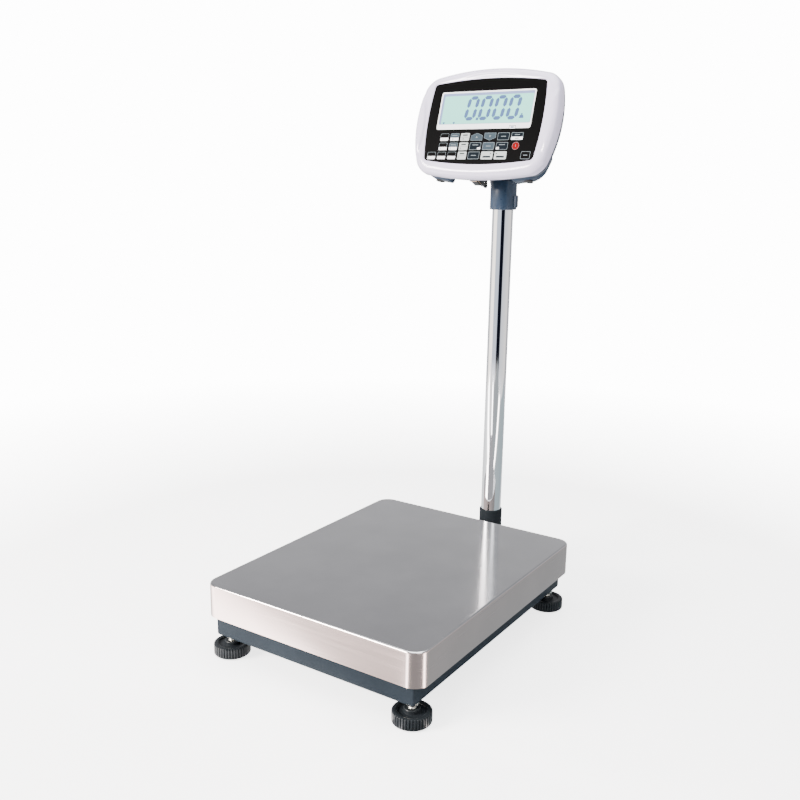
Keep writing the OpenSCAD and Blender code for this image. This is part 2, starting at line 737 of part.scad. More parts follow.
module rear_shell() color("slategray") in_head() difference() {
    union() {
        difference() {
            rear_form(0, parting_y + 0.2, shell_depth);
            recess(0);
            difference() {
                rear_form(shell_wall, parting_y - 1, shell_depth - shell_wall);
                recess(shell_wall);
            }
        }
        // lug between the collar's cheeks
        translate([-lug_half_w, 0, 0]) {
            box_from([0, recess_floor_y + 5, pivot_drop - pivot_boss_r],
                [2 * lug_half_w, pivot_depth, pivot_drop + pivot_boss_r]);
            translate([0, pivot_depth, pivot_drop]) rotate([0, 90, 0])
                cylinder(r = pivot_boss_r, h = 2 * lug_half_w);
        }
        // bosses for the shell screws
        for (p = shell_screw_xz) at_face(p, parting_y + 0.2) cylinder(r = rear_boss_r, h = rear_boss_h);
    }
    for (p = shell_screw_xz) {
        at_face(p, 0) cylinder(r = shell_screw_r + 0.2, h = 100);
        at_face(p, shell_screw_head_y) cylinder(r = shell_screw_head_r + 0.5, h = 100);
    }
    translate([-40, pivot_depth, pivot_drop]) rotate([0, 90, 0])
        cylinder(r = m8_r + running_gap, h = 80);
    // pockets for the rubber feet
    for (x = [-1, 1]) translate([x * shell_foot_x, shell_foot_y, shell_foot_z - 10])
        cylinder(r = shell_foot_r + 0.2, h = 10);
    // openings for the serial socket and the power jack
    at_recess(plug_x) cube([socket_w + 0.4, 20, socket_h + 0.4], center = true);
    at_face(jack_xz, shell_depth - 12) cylinder(r = jack_r + 0.2, h = 20);
}

// A key's outline, from its row in keys, drawn out by grow
module key_outline(k, grow) translate([k[1], k[2]]) {
    w = k[3] / 2 + grow;
    h = k[4] / 2 + grow;
    if (k[5] == "round") circle(r = w);
    else if (k[5] == "pad") rounded_rect(2 * w, 2 * h, key_corner_r);
    else mirror([0, k[5] == "up" ? 0 : 1])
        polygon([[-w, -h], [w, -h], [w, h / 3], [0, h], [-w, h / 3]]);
}

module keypad_panel() color([0.08, 0.08, 0.09]) in_head() difference() {
    slab(0, overlay_t) overlay_outline(0);
    slab(-1, overlay_t + 1) translate([0, window_z]) rounded_rect(window_w, window_h, window_r);
    for (k = keys) slab(-1, overlay_t + 1) key_outline(k, key_gap);
}

module key_cap(i) color(keys[i][5] == "round" ? "red" : "lightgray") in_head()
    slab(-key_proud, key_t - key_proud) key_outline(keys[i], 0);

module display_window() color([0.75, 0.9, 0.86, 0.5]) in_head() slab(0, overlay_t)
    translate([0, window_z])
        rounded_rect(window_w - 2 * window_gap, window_h - 2 * window_gap, window_r);

module lcd_module() color("palegreen") in_head()
    translate([-lcd_w / 2, overlay_t + shell_wall + 0.2, window_z - lcd_h / 2])
        cube([lcd_w, lcd_t, lcd_h]);

module main_board() color("green") in_head() {
    translate(board_at) cube(board_size);
    for (c = board_parts) translate([c[0], board_at.y + board_size.y, c[1]]) cube(c[2]);
}

module battery() color("dimgray") in_head()
    translate([-battery_size.x / 2, battery_y, 0]) cube(battery_size);

module shell_screws() color("silver") in_head() for (p = shell_screw_xz) {
    at_face(p, shell_screw_tip_y) cylinder(r = shell_screw_r, h = shell_screw_head_y - shell_screw_tip_y);
    at_face(p, shell_screw_head_y) cylinder(r = shell_screw_head_r, h = shell_screw_head_h);
}

module shell_feet() color([0.1, 0.1, 0.1]) in_head() for (x = [-1, 1])
    translate([x * shell_foot_x, shell_foot_y, shell_foot_z - shell_foot_h])
        cylinder(r = shell_foot_r, h = shell_foot_h);

// Nine-way socket in the recess floor, its flange outside
module serial_socket() color("silver") in_head() at_recess(plug_x) {
    translate([0, -socket_l / 2, 0]) cube([socket_w, socket_l, socket_h], center = true);
    translate([0, socket_flange_t / 2, 0])
        cube([socket_flange_w, socket_flange_t, socket_flange_h], center = true);
}

module power_jack() color([0.1, 0.1, 0.1]) in_head() at_face(jack_xz, shell_depth - 11) difference() {
    cylinder(r = jack_r, h = 11.5);
    translate([0, 0, 3]) cylinder(r = jack_bore_r, h = 20);
}

// Plug with its cover and strain relief, on the socket
module serial_plug() color([0.12, 0.12, 0.13]) in_head() at_recess(plug_x) {
    y = socket_flange_t + 0.1;
    translate([-plug_t / 2, y, -plug_w / 2]) cube([plug_t, 2, plug_w]);
    translate([hood_inset - plug_t / 2, y + 2, 1 - plug_w / 2])
        cube([plug_t - 2 * hood_inset, hood_l, plug_w - 2]);
    translate([throat_inset - plug_t / 2, y + 2, throat_low - plug_w / 2])
        cube([plug_t - 2 * throat_inset, plug_l - 2, throat_w]);
    translate([0, y + plug_l, relief_z]) rotate([-90, 0, 0]) cylinder(r = relief_r, h = relief_l - 2);
}

module plug_cable() color("black") at_column()
    translate([0, 0, tube_top_z]) cable(plug_cable_route, 4, cable_r);

// ---- drawing -------------------------------------------------------------

base_frame();
cross_beam();
foot_plates();
foot_lock_nuts();
load_cell();
cell_spacers();
frame_bolts();
upper_frame();
pan_buffers();
cell_cable();
column_bracket();
bracket_bolts();
column_tube();
pan();
for (i = [0 : 3]) foot_pad(i);
for (i = [0 : 3]) foot_screw(i);
collar();
collar_screw();
tilt_bolt();
front_shell();
rear_shell();
keypad_panel();
display_window();
lcd_module();
main_board();
battery();
shell_screws();
shell_feet();
serial_socket();
power_jack();
serial_plug();
plug_cable();
for (i = [0 : len(keys) - 1]) key_cap(i);
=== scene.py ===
"""Bench scale: the looks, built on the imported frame. Lengths are in millimetres
until a mesh is made, and the frame is the CAD model's own."""

from math import atan2, copysign, cos, exp, hypot, pi, radians, sin, sqrt

import bmesh
import bpy
from mathutils import Matrix, Vector, noise


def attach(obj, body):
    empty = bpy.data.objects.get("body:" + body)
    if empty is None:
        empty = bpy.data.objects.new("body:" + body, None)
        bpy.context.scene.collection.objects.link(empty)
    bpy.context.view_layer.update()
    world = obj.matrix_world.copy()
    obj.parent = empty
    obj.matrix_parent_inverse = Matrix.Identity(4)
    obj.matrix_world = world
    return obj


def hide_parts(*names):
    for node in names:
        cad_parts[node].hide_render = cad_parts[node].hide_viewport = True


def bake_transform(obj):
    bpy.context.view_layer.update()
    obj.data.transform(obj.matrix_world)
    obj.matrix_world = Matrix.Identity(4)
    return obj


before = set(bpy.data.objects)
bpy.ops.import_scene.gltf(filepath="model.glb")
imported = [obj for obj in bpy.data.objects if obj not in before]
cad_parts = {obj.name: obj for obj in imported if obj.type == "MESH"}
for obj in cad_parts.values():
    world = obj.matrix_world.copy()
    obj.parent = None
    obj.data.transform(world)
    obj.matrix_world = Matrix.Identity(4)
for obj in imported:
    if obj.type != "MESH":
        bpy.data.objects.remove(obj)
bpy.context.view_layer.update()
MM = 0.001


def at(x, y, z):
    return Matrix.Translation((x, y, z))


# ---- sizes, as in the CAD model ----

PAN_W, PAN_D, PAN_TOP, SKIRT_H = 400, 500, 122.5, 54
PAN_Y, COLUMN_Y = -53.5, 269.5
FRAME_W, FRAME_D, FRAME_Z, FRAME_H = 368, 480, 34.5, 40
FEET = [(-170, -221), (170, -221), (-170, 221), (170, 221)]
TUBE_R, TUBE_WALL, TUBE_Z, TUBE_TOP = 19, 1.5, 63, 738
TILT = radians(17)
FACE_Y, FACE_Z = COLUMN_Y - 86, 838
HEAD = at(0, FACE_Y, FACE_Z) @ Matrix.Rotation(-TILT, 4, "X")
COLUMN = at(0, COLUMN_Y, 0)
PAN = at(0, PAN_Y, 0)
# the tilt pivot, first from the face's middle in the head's own axes, then from the column's foot
HEAD_PIVOT_Y, HEAD_PIVOT_Z = 58, -35
PIVOT_Y = FACE_Y - COLUMN_Y + HEAD_PIVOT_Y * cos(TILT) + HEAD_PIVOT_Z * sin(TILT)
PIVOT_Z = FACE_Z - HEAD_PIVOT_Y * sin(TILT) + HEAD_PIVOT_Z * cos(TILT)


# ---- shader helpers ----

def feed(tree, socket, value):
    """Links a socket to another node's output, or sets its own value."""
    if isinstance(value, bpy.types.NodeSocket):
        tree.links.new(value, socket)
    else:
        socket.default_value = value


def node(tree, kind, **values):
    """A new shader node, with its properties or its inputs set."""
    made = tree.nodes.new("ShaderNode" + kind)
    for key, value in values.items():
        if hasattr(made, key):
            setattr(made, key, value)
        else:
            made.inputs[key.replace("_", " ").title()].default_value = value
    return made


def math_node(tree, operation, *inputs):
    made = node(tree, "Math", operation=operation)
    for socket, value in zip(made.inputs, inputs):
        feed(tree, socket, value)
    return made.outputs[0]


def mix_node(tree, factor, first, second):
    made = node(tree, "MixRGB")
    for name, value in (("Fac", factor), ("Color1", first), ("Color2", second)):
        feed(tree, made.inputs[name], value)
    return made.outputs["Color"]


def ramp(tree, factor, stops):
    """A ramp of (position, value or colour) stops."""
    made = node(tree, "ValToRGB")
    bar = made.color_ramp
    while len(bar.elements) < len(stops):
        bar.elements.new(0.5)
    for element, (position, value) in zip(bar.elements, stops):
        element.position = position
        element.color = (value,) * 3 + (1,) if isinstance(value, (int, float)) else (*value, 1)
    tree.links.new(factor, made.inputs["Fac"])
    return made.outputs["Color"]


class Shader:
    """A Principled material, with short calls for the nodes that feed it."""

    def __init__(self, name, colour, rough, metal=0.0, **uniform):
        self.material = bpy.data.materials.new(name)
        self.material.use_nodes = True
        self.tree = self.material.node_tree
        self.bsdf = self.tree.nodes["Principled BSDF"]
        self.set("Base Color", (*colour, 1))
        self.set("Roughness", rough)
        self.set("Metallic", metal)
        for key, value in uniform.items():
            self.set(key.replace("_", " ").title().replace("Ior", "IOR"), value)

    def set(self, socket, value):
        self.bsdf.inputs[socket].default_value = value

    def link(self, a, b):
        self.tree.links.new(a, b)

    def coords(self, stretch=(1, 1, 1)):
        """Object coordinates in millimetres, stretched along the axes."""
        coord = node(self.tree, "TexCoord")
        mapping = node(self.tree, "Mapping", scale=[1000 / s for s in stretch])
        self.link(coord.outputs["Object"], mapping.inputs["Vector"])
        return mapping.outputs["Vector"]

    def noise(self, size, stretch=(1, 1, 1), detail=3.0):
        """Noise with features of size millimetres."""
        made = node(self.tree, "TexNoise", scale=1 / size, detail=detail, roughness=0.55)
        self.link(self.coords(stretch), made.inputs["Vector"])
        return made.outputs["Fac"]

    def spread(self, socket, factor, low, high):
        """Feeds a socket from noise: low where it is faint, high where it is strong."""
        self.link(ramp(self.tree, factor, [(0.3, low), (0.7, high)]), self.bsdf.inputs[socket])

    def rough_from(self, factor, low, high):
        self.spread("Roughness", factor, low, high)

    def colour_from(self, factor, dark, light):
        self.spread("Base Color", factor, dark, light)

    def bump(self, factor, depth):
        """Bumps of depth millimetres, added to any that are there."""
        made = node(self.tree, "Bump", strength=1.0, distance=depth * MM)
        self.link(factor, made.inputs["Height"])
        normal = self.bsdf.inputs["Normal"]
        if normal.is_linked:
            self.link(normal.links[0].from_socket, made.inputs["Normal"])
        self.link(made.outputs["Normal"], normal)
        return self


def scaled(colour, k):
    return tuple(c * k for c in colour)


def brushed_steel(name, colour, grain, rough=(0.16, 0.26), depth=0.004, streak=0.0):
    """Sheet steel with a fine brushed grain; grain stretches the noise along the brushing."""
    s = Shader(name, colour, rough[0], metal=1.0, anisotropic=streak, anisotropic_rotation=0.25)
    fine = s.noise(0.35, grain, detail=4)
    s.bump(fine, depth).rough_from(s.noise(2.5, grain, detail=5), *rough)
    s.colour_from(s.noise(90, detail=2), scaled(colour, 0.95), scaled(colour, 1.04))
    return s.material


def coated(name, colour, rough=0.42):
    """Powder coat with an orange-peel skin."""
    s = Shader(name, colour, rough, specular_ior_level=0.03)
    s.bump(s.noise(1.6, detail=2), 0.03).bump(s.noise(0.3, detail=1), 0.004)
    s.rough_from(s.noise(14, detail=3), rough - 0.05, rough + 0.08)
    s.colour_from(s.noise(35, detail=3), scaled(colour, 0.93), scaled(colour, 1.07))
    return s.material


def moulded(name, colour, rough=0.35, grain=0.25, depth=0.006, coat=0.0, vary=0.03, film=0.5):
    """Moulded plastic or rubber with a fine texture."""
    s = Shader(name, colour, rough, coat_weight=coat, coat_roughness=0.08, specular_ior_level=film)
    s.bump(s.noise(grain, detail=2), depth)
    s.rough_from(s.noise(9, detail=3), rough * 0.9, min(1, rough * 1.15))
    s.colour_from(s.noise(50, detail=2), scaled(colour, 1 - vary), scaled(colour, 1 + vary))
    return s.material


def printed(name, colour):
    """Ink under a matt film."""
    s = Shader(name, colour, 0.42, specular_ior_level=0.02)
    s.bump(s.noise(0.3, detail=2), 0.003).rough_from(s.noise(6, detail=3), 0.38, 0.48)
    s.colour_from(s.noise(40, detail=2), scaled(colour, 0.97), scaled(colour, 1.03))
    return s.material


def plated(name, colour, rough=0.24):
    """Bright zinc plate: mottled, with slight colour shifts."""
    s = Shader(name, colour, rough, metal=1.0)
    tint = (colour[0] * 1.05, colour[1] * 1.02, colour[2] * 0.9)
    s.colour_from(s.noise(2.2, detail=3), scaled(colour, 0.9), tint)
    s.rough_from(s.noise(1.1, detail=4), rough, rough + 0.12)
    s.bump(s.noise(0.4, detail=2), 0.006)
    return s.material


def chromed(name):
    s = Shader(name, (0.86, 0.87, 0.89), 0.045, metal=1.0)
    s.rough_from(s.noise(3, (1, 1, 8), detail=5), 0.03, 0.075)
    s.bump(s.noise(24, (1, 1, 6), detail=1), 0.012)
    return s.material


MAT = {
    "steel_top": brushed_steel("pan_steel_top", (0.60, 0.595, 0.61), (70, 1, 1), (0.09, 0.15), 0.012),
    # The skirt's steel has its own brushing and roughness, but its pinkish base colour is painted warm light
    # standing in for the warm key lamp on the front.
    "steel_side_painted_warm": brushed_steel("pan_steel_side", (0.62, 0.495, 0.465), (70, 70, 1), (0.2, 0.28), 0.02,
                                streak=0.8),
    "paint": coated("frame_paint", (0.017, 0.023, 0.030)),
    "charcoal": coated("bracket_paint", (0.012, 0.015, 0.018), 0.38),
    "chrome": chromed("tube_chrome"),
    "zinc": plated("zinc_plate", (0.72, 0.72, 0.71)),
    "aluminium": brushed_steel("aluminium_machined", (0.78, 0.79, 0.81), (1, 25, 1), (0.25, 0.35)),
    "rubber": moulded("rubber_black", (0.018, 0.018, 0.019), 0.7, 0.5, 0.02),
    "wheel": moulded("wheel_plastic", (0.0135, 0.0165, 0.0195), 0.33, 0.4, 0.004, film=0.2),
    "white": moulded("shell_white", (0.63, 0.588, 0.755), 0.2, 0.35, 0.002, coat=0.6, vary=0.01),
    "blue": moulded("shell_blue", (0.017, 0.031, 0.056), 0.3, 0.3, 0.002, coat=0.1, film=0.25),
    "overlay": printed("overlay_black", (0.0010, 0.0010, 0.0011)),
    "cable": moulded("cable_sheath", (0.013, 0.013, 0.014), 0.45, 0.6, 0.01),
    "dark": moulded("black_plastic", (0.012, 0.012, 0.013), 0.4, 0.3, 0.008),
    "bolt_black": plated("bolt_black", (0.05, 0.05, 0.055), 0.35),
    "board": moulded("board_green", (0.015, 0.12, 0.045), 0.4, 0.8, 0.02),
    "battery": moulded("battery_case", (0.06, 0.06, 0.065), 0.5, 0.4, 0.01),
    "lcd_back": moulded("lcd_body", (0.5, 0.55, 0.55), 0.4, 0.4, 0.004),
    "mint": moulded("lcd_mint", (0.205, 0.57, 0.49), 0.4, 0.2, 0.0, vary=0.015, film=0.05),
    # The window step's dark lilac is painted shadow: it stands in for the shade the rim casts on the glass.
    "lcd_step_painted_shadow": moulded("lcd_painted_shadow", (0.17, 0.22, 0.38), 0.4, 0.2, 0.0, film=0.05),
    "segment": moulded("lcd_segment", (0.055, 0.095, 0.20), 0.4, 0.2, 0.0, film=0.05),
    "print_white": printed("print_white", (0.80, 0.81, 0.83)),
    "key_dark": printed("key_dark", (0.004, 0.0072, 0.0105)),
    "key_black": printed("key_black", (0.0008, 0.0008, 0.0009)),
    "key_grey": printed("key_grey", (0.036, 0.052, 0.065)),
    "key_light": printed("key_light", (0.40, 0.43, 0.43)),
    "key_red": printed("key_red", (0.17, 0.001, 0.002)),
    "outline": printed("key_outline", (0.15, 0.175, 0.19)),
    "hood": moulded("plug_hood", (0.007, 0.0075, 0.0085), 0.4, 0.4, 0.01),
    "grip": moulded("plug_grip", (0.06, 0.064, 0.07), 0.5, 0.4, 0.01),
    "trim": plated("plug_trim", (0.78, 0.52, 0.36), 0.25),
}


# ---- mesh helpers ----

def new_mesh(name, points, faces, place=Matrix()):
    """A mesh from points in millimetres."""
    mesh = bpy.data.meshes.new(name)
    mesh.from_pydata([(place @ Vector(p)) * MM for p in points], [], faces)
    return mesh


def linked(name, data):
    """A new object in the scene."""
    obj = bpy.data.objects.new(name, data)
    bpy.context.scene.collection.objects.link(obj)
    return obj


class Build:
    """Collects rings and faces of one piece, in millimetres."""

    def __init__(self):
        self.verts = []
        self.faces = []
        self.slots = []
        self.slot = 0

    def add(self, points):
        first = len(self.verts)
        self.verts += [Vector(p) for p in points]
        return list(range(first, len(self.verts)))

    def face(self, indices):
        self.faces.append(indices)
        self.slots.append(self.slot)

    def bridge(self, a, b):
        for i in range(len(a)):
            j = (i + 1) % len(a)
            self.face([a[i], a[j], b[j], b[i]])

    def loft(self, rings, cap_first=False, cap_last=False):
        made = [self.add(r) for r in rings]
        for a, b in zip(made, made[1:]):
            self.bridge(a, b)
        if cap_first:
            self.face(made[0][::-1])
        if cap_last:
            self.face(made[-1])
        return made

    def piece(self, name, body, mats, place=Matrix(), nodes=(), angle=35, bevel=None):
        mesh = new_mesh(name, self.verts, self.faces, place)
        for key in [mats] if isinstance(mats, str) else mats:
            mesh.materials.append(MAT[key])
        mesh.polygons.foreach_set("material_index", self.slots)
        tidy(mesh, angle)
        obj = linked(name, mesh)
        if bevel:
            add_bevel(obj, bevel)
        if nodes:
            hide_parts(*nodes)
        if body:
            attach(obj, body)
        return obj


def tidy(mesh, angle):
    """Outward normals, smooth except over edges sharper than angle."""
    bm = bmesh.new()
    bm.from_mesh(mesh)
    bmesh.ops.remove_doubles(bm, verts=bm.verts, dist=1e-6)
    bmesh.ops.recalc_face_normals(bm, faces=bm.faces)
    bm.to_mesh(mesh)
    bm.free()
    mesh.polygons.foreach_set("use_smooth", [True] * len(mesh.polygons))
    mesh.set_sharp_from_angle(angle=radians(angle))


def add_bevel(obj, width, segments=2):
    """Rounds the edges of 40 degrees and over."""
    mod = obj.modifiers.new("edge", "BEVEL")
    mod.width = width * MM
    mod.segments = segments
    mod.limit_method = "ANGLE"
    mod.angle_limit = radians(40)
    mod.harden_normals = True


def around(n):
    """The angles of n even steps round a full turn."""
    return [2 * pi * i / n for i in range(n)]


def polar(r, angle, x=0, y=0):
    """The point at this angle on a circle about x, y."""
    return x + r * cos(angle), y + r * sin(angle)


def circle(r, z, n):
    return [(*polar(r, a), z) for a in around(n)]


def lathe(build, profile, n, shape=lambda angle, r, z: r):
    """Turns a closed profile of (r, z) about Z. shape may move a radius."""
    rings = [[(*polar(shape(a, r, z), a), z) for a in around(n)] for r, z in profile]
    build.loft(rings + rings[:1])


def turned_rings(profile, place, n=48):
    return [[place @ Vector(p) for p in circle(r, z, n)] for r, z in profile]


def turned(build, profile, place=Matrix(), n=48):
    """Turns an open profile of (r, z) about the place's Z, with both ends closed."""
    build.loft(turned_rings(profile, place, n), True, True)


def corner_arcs(a, b, r, steps):
    """The four corner arcs of a rounded rectangle, anticlockwise from the right-hand top."""
    centres = [(a - r, b - r, 0), (r - a, b - r, 90), (r - a, r - b, 180), (a - r, r - b, 270)]
    return [[polar(r, radians(s + 90 * k / steps), cx, cz) for k in range(steps + 1)]
            for cx, cz, s in centres]


def rounded_path(a, b, r, steps, edge=1):
    """A closed rounded rectangle, its straight sides split into edge stretches."""
    arcs = corner_arcs(a, b, r, steps)
    path = []
    for i, arc in enumerate(arcs):
        p, q = arc[-1], arcs[(i + 1) % 4][0]
        path += arc + [(p[0] + (q[0] - p[0]) * k / edge, p[1] + (q[1] - p[1]) * k / edge)
                       for k in range(1, edge)]
    return path


def flat(path, z):
    return [(x, y, z) for x, y in path]


def upright(path, y):
    """A path in x and z at depth y."""
    return [(x, y, z) for x, z in path]


def fillet(r, steps=6):
    """(inset, drop) of a quarter-round edge, from its side up to its top."""
    return [(r * (1 - cos(t)), r * (1 - sin(t)))
            for t in (pi / 2 * k / steps for k in range(steps + 1))]


def sheet_box(build, path_of, z_low, z_high, radius, thick):
    """A tray of sheet metal, open below: path_of(inset) gives its outline. Its skirt has slot 1."""
    outer = [flat(path_of(0), z_low)]
    outer += [flat(path_of(i), z_high - d) for i, d in fillet(radius)]
    outer += [flat(path_of(radius + 1.5), z_high)]
    sides = 3 * len(outer[0])
    inner = [flat(path_of(thick), z_low), flat(path_of(thick), z_high - radius)]
    inner += [flat(path_of(radius), z_high - thick)]
    tops = build.loft(outer, cap_last=True)
    lows = build.loft(inner, cap_last=True)
    build.bridge(tops[0], lows[0])
    build.slots[:sides] = [1] * sides


# ---- camera, light and floor ----

def look(location, yaw, pitch, roll, lens):
    """A camera from its yaw, pitch and roll in degrees."""
    yaw, pitch, roll = (radians(v) for v in (yaw, pitch, roll))
    forward = Vector((-sin(yaw) * cos(pitch), cos(yaw) * cos(pitch), sin(pitch)))
    right = Vector((cos(yaw), sin(yaw), 0))
    up = right.cross(forward)
    x = cos(roll) * right + sin(roll) * up
    y = cos(roll) * up - sin(roll) * right
    data = bpy.data.cameras.new("camera")
    data.lens = lens
    data.sensor_width = 36
    data.clip_start = 0.05
    data.clip_end = 60
    camera = linked("camera", data)
    camera.matrix_world = at(*location) @ Matrix((x, y, -forward)).transposed().to_4x4()
    bpy.context.scene.camera = camera


def panel_light(name, location, target, size, power, colour=(1, 1, 1)):
    data = bpy.data.lights.new(name, "AREA")
    data.shape = "RECTANGLE"
    data.size, data.size_y = size
    data.energy = power
    data.color = colour
    light = linked(name, data)
    light.location = location
    light.rotation_euler = (Vector(target) - Vector(location)).to_track_quat("-Z", "Y").to_euler()
    light.visible_camera = False


def staged(name, points, faces, material):
    """A part of the studio, its points in millimetres."""
    mesh = new_mesh(name, points, faces)
    mesh.materials.append(material)
    obj = linked(name, mesh)
    return obj


def by_bearing(tree, right, ahead, stops):
    """A colour by bearing: stops of (degrees from straight ahead, colour)."""
    bearing = math_node(tree, "ARCTAN2", right, ahead)
    turn = math_node(tree, "MULTIPLY_ADD", bearing, 0.5 / pi, 0.5)
    return ramp(tree, turn, [((a + 180) / 360, colour) for a, colour in stops])


# the studio's walls by bearing in degrees from the front, anticlockwise seen from above:
# grey walls, a soft box on the left and a black flag on the right
GREY_WALL, PALE_WALL = (0.45, 0.45, 0.47), (0.6, 0.65, 0.75)
SOFT_BOX, FLAG = (1.9, 1.75, 1.6), (0.003, 0.004, 0.009)
WALLS = [(-180, GREY_WALL), (-82, (0.6, 0.6, 0.62)), (-76, SOFT_BOX), (-36, SOFT_BOX), (-30, PALE_WALL),
         (10, PALE_WALL), (17, FLAG), (50, FLAG), (58, (0.65, 0.67, 0.72)), (130, (0.9, 0.85, 0.82)),
         (140, (0.35, 0.35, 0.37)), (180, GREY_WALL)]
# the ceiling by height, from 0.5 at the horizon to 1 overhead, and its share against the walls
CEILING = [(0.5, (0.6, 0.6, 0.61)), (0.62, (0.5, 0.5, 0.51)), (0.72, (0.33, 0.33, 0.34)),
           (0.8, (0.25, 0.25, 0.26)), (0.92, (0.8, 0.8, 0.8))]
CEILING_SHARE = [(0.53, 0), (0.6, 1)]
WALL_LIGHT = 1.7
SWEEP = (14, 14, 14, 1)
FLOOR_R, FLOOR_LIFT = 2600, 3.0


def world_light():
    """Soft walls and a grey ceiling for the light, and a pale sweep for the camera."""
    world = bpy.data.worlds.new("studio")
    world.use_nodes = True
    bpy.context.scene.world = world
    tree = world.node_tree
    split = node(tree, "SeparateXYZ")
    tree.links.new(node(tree, "TexCoord").outputs["Generated"], split.inputs["Vector"])
    ahead = math_node(tree, "MULTIPLY", split.outputs["Y"], -1.0)
    walls = by_bearing(tree, split.outputs["X"], ahead, WALLS)
    height = math_node(tree, "MULTIPLY_ADD", split.outputs["Z"], 0.5, 0.5)
    room = mix_node(tree, ramp(tree, height, CEILING_SHARE), walls, ramp(tree, height, CEILING))
    gain = node(tree, "VectorMath", operation="SCALE", scale=WALL_LIGHT)
    tree.links.new(room, gain.inputs[0])
    path = node(tree, "LightPath")
    seen = mix_node(tree, path.outputs["Is Camera Ray"], gain.outputs["Vector"], SWEEP)
    tree.links.new(seen, tree.nodes["Background"].inputs["Color"])


def floor_material():
    """Pale and matt, fading out into the sweep, and lifted towards white for the camera."""
    s = Shader("floor_white", (0.9, 0.9, 0.905), 0.9, specular_ior_level=0.1)
    s.colour_from(s.noise(400, detail=2), (0.895, 0.895, 0.9), (0.905, 0.905, 0.91))
    gradient = node(s.tree, "TexGradient", gradient_type="SPHERICAL")
    s.link(s.coords((FLOOR_R,) * 3), gradient.inputs["Vector"])
    s.link(ramp(s.tree, gradient.outputs["Fac"], [(0.22, 0.0), (0.68, 1.0)]), s.bsdf.inputs["Alpha"])
    s.set("Emission Color", (1, 1, 1, 1))
    path = node(s.tree, "LightPath")
    lift = math_node(s.tree, "MULTIPLY", path.outputs["Is Camera Ray"], FLOOR_LIFT)
    s.link(lift, s.bsdf.inputs["Emission Strength"])
    return s.material


# what the floor shows in the metal, by bearing round the pan's front right corner
CARD = [(-180, (0.9, 0.95, 0.98)), (-90, (1.8, 1.8, 1.8)), (-74, (13, 12.4, 12.2)), (-68, (11, 10.4, 10.2)),
        (-60, (1.5, 1.45, 1.45)), (-24, (1.3, 1.25, 1.25)), (-17, (13, 12.5, 12.5)), (-12, (13, 12.5, 12.5)),
        (-5, (1.0, 1.0, 1.0)), (10, (0.42, 0.46, 0.48)), (72, (0.4, 0.44, 0.46)), (86, (0.9, 0.9, 0.9)),
        (92, (14, 12.8, 12.4)), (98, (13, 12, 11.6)), (106, (1.4, 1.4, 1.4)), (116, (0.5, 0.6, 0.63)),
        (150, (0.46, 0.56, 0.6)), (172, (0.42, 0.52, 0.56)), (180, (0.9, 0.95, 0.98))]
CARD_HALF, CARD_Z, CARD_INSET = 1500, 0.6, 25


def light_card():
    """A card on the floor that only shows in the metal, its light set by the bearing."""
    s = Shader("card_light", (0, 0, 0), 0.9)
    split = node(s.tree, "SeparateXYZ")
    s.link(node(s.tree, "TexCoord").outputs["Object"], split.inputs["Vector"])
    right = math_node(s.tree, "SUBTRACT", split.outputs["X"], (PAN_W / 2 - CARD_INSET) * MM)
    ahead = math_node(s.tree, "SUBTRACT", (PAN_Y - PAN_D / 2 + CARD_INSET) * MM, split.outputs["Y"])
    s.link(by_bearing(s.tree, right, ahead, CARD), s.bsdf.inputs["Emission Color"])
    s.set("Emission Strength", 1.0)
    corners = [(x * CARD_HALF, y * CARD_HALF, CARD_Z) for x, y in ((-1, -1), (1, -1), (1, 1), (-1, 1))]
    card = staged("card", corners, [(0, 1, 2, 3)], s.material)
    card.visible_camera = card.visible_diffuse = card.visible_shadow = False


def studio():
    world_light()
    b = Build()
    b.loft([circle(r, 0, 72) for r in (40, 400, 1000, 1800, FLOOR_R)], cap_first=True)
    staged("floor", b.verts, b.faces, floor_material())
    light_card()
    panel_light("key", (-2.2, -3.4, 1.9), (0, 0, 0.3), (1.8, 1.4), 620, (1, 0.93, 0.88))
    panel_light("fill", (3.0, -1.6, 2.4), (0, 0, 0.4), (2.0, 2.4), 40)
    panel_light("top", (0.2, -0.2, 3.8), (0, 0, 0), (3.4, 3.4), 190)


look(location=(0.782, -1.2495, 0.730), yaw=33.3, pitch=-13.14, roll=0.94, lens=41.4)
studio()


# ---- pan ----

def pan_piece():
    corner, sheet_bend, sheet = 24, 3, 1.2
    b = Build()
    sheet_box(b, lambda i: rounded_path(PAN_W / 2 - i, PAN_D / 2 - i, corner - i, 14, 4),
              PAN_TOP - SKIRT_H, PAN_TOP, sheet_bend, sheet)
    # The skirt (slot 1) takes the pinkish steel, whose tint is painted warm light.
    b.piece("pan_sheet", "pan", ["steel_top", "steel_side_painted_warm"], PAN, ["pan"])


# ---- base frame ----

def channel(build, half_w, half_d, z_low, z_high, flange, thick, bend):
    """A ring of folded channel with its open side inwards."""
    def ring(inset, z):
        return flat(rounded_path(half_w - inset, half_d - inset, max(0.4, 2.2 - inset / 2), 3, 2), z)
    outer = [(flange, z_low), (bend + 1, z_low)] + [(i, z_low + d) for i, d in reversed(fillet(bend, 5))]
    outer += [(i, z_high - d) for i, d in fillet(bend, 5)] + [(bend + 1, z_high), (flange, z_high)]
    inner = [(flange, z_high - thick), (bend, z_high - thick), (thick, z_high - bend),
             (thick, z_low + bend), (bend, z_low + thick), (flange, z_low + thick)]
    build.loft([ring(i, z) for i, z in outer + inner + outer[:1]])


def folded(half, low, top, bend, thick):
    """The section of a channel open below: its bends rounded outside and chamfered inside."""
    over = [(i - half, top - d) for i, d in fillet(bend)]
    outer = [(-half, low)] + over + [(-x, z) for x, z in reversed(over)] + [(half, low)]
    inside, cut = half - thick, bend - thick
    under = [(inside, low), (inside, top - bend), (inside - cut, top - thick)]
    return outer + under + [(-x, z) for x, z in reversed(under)]


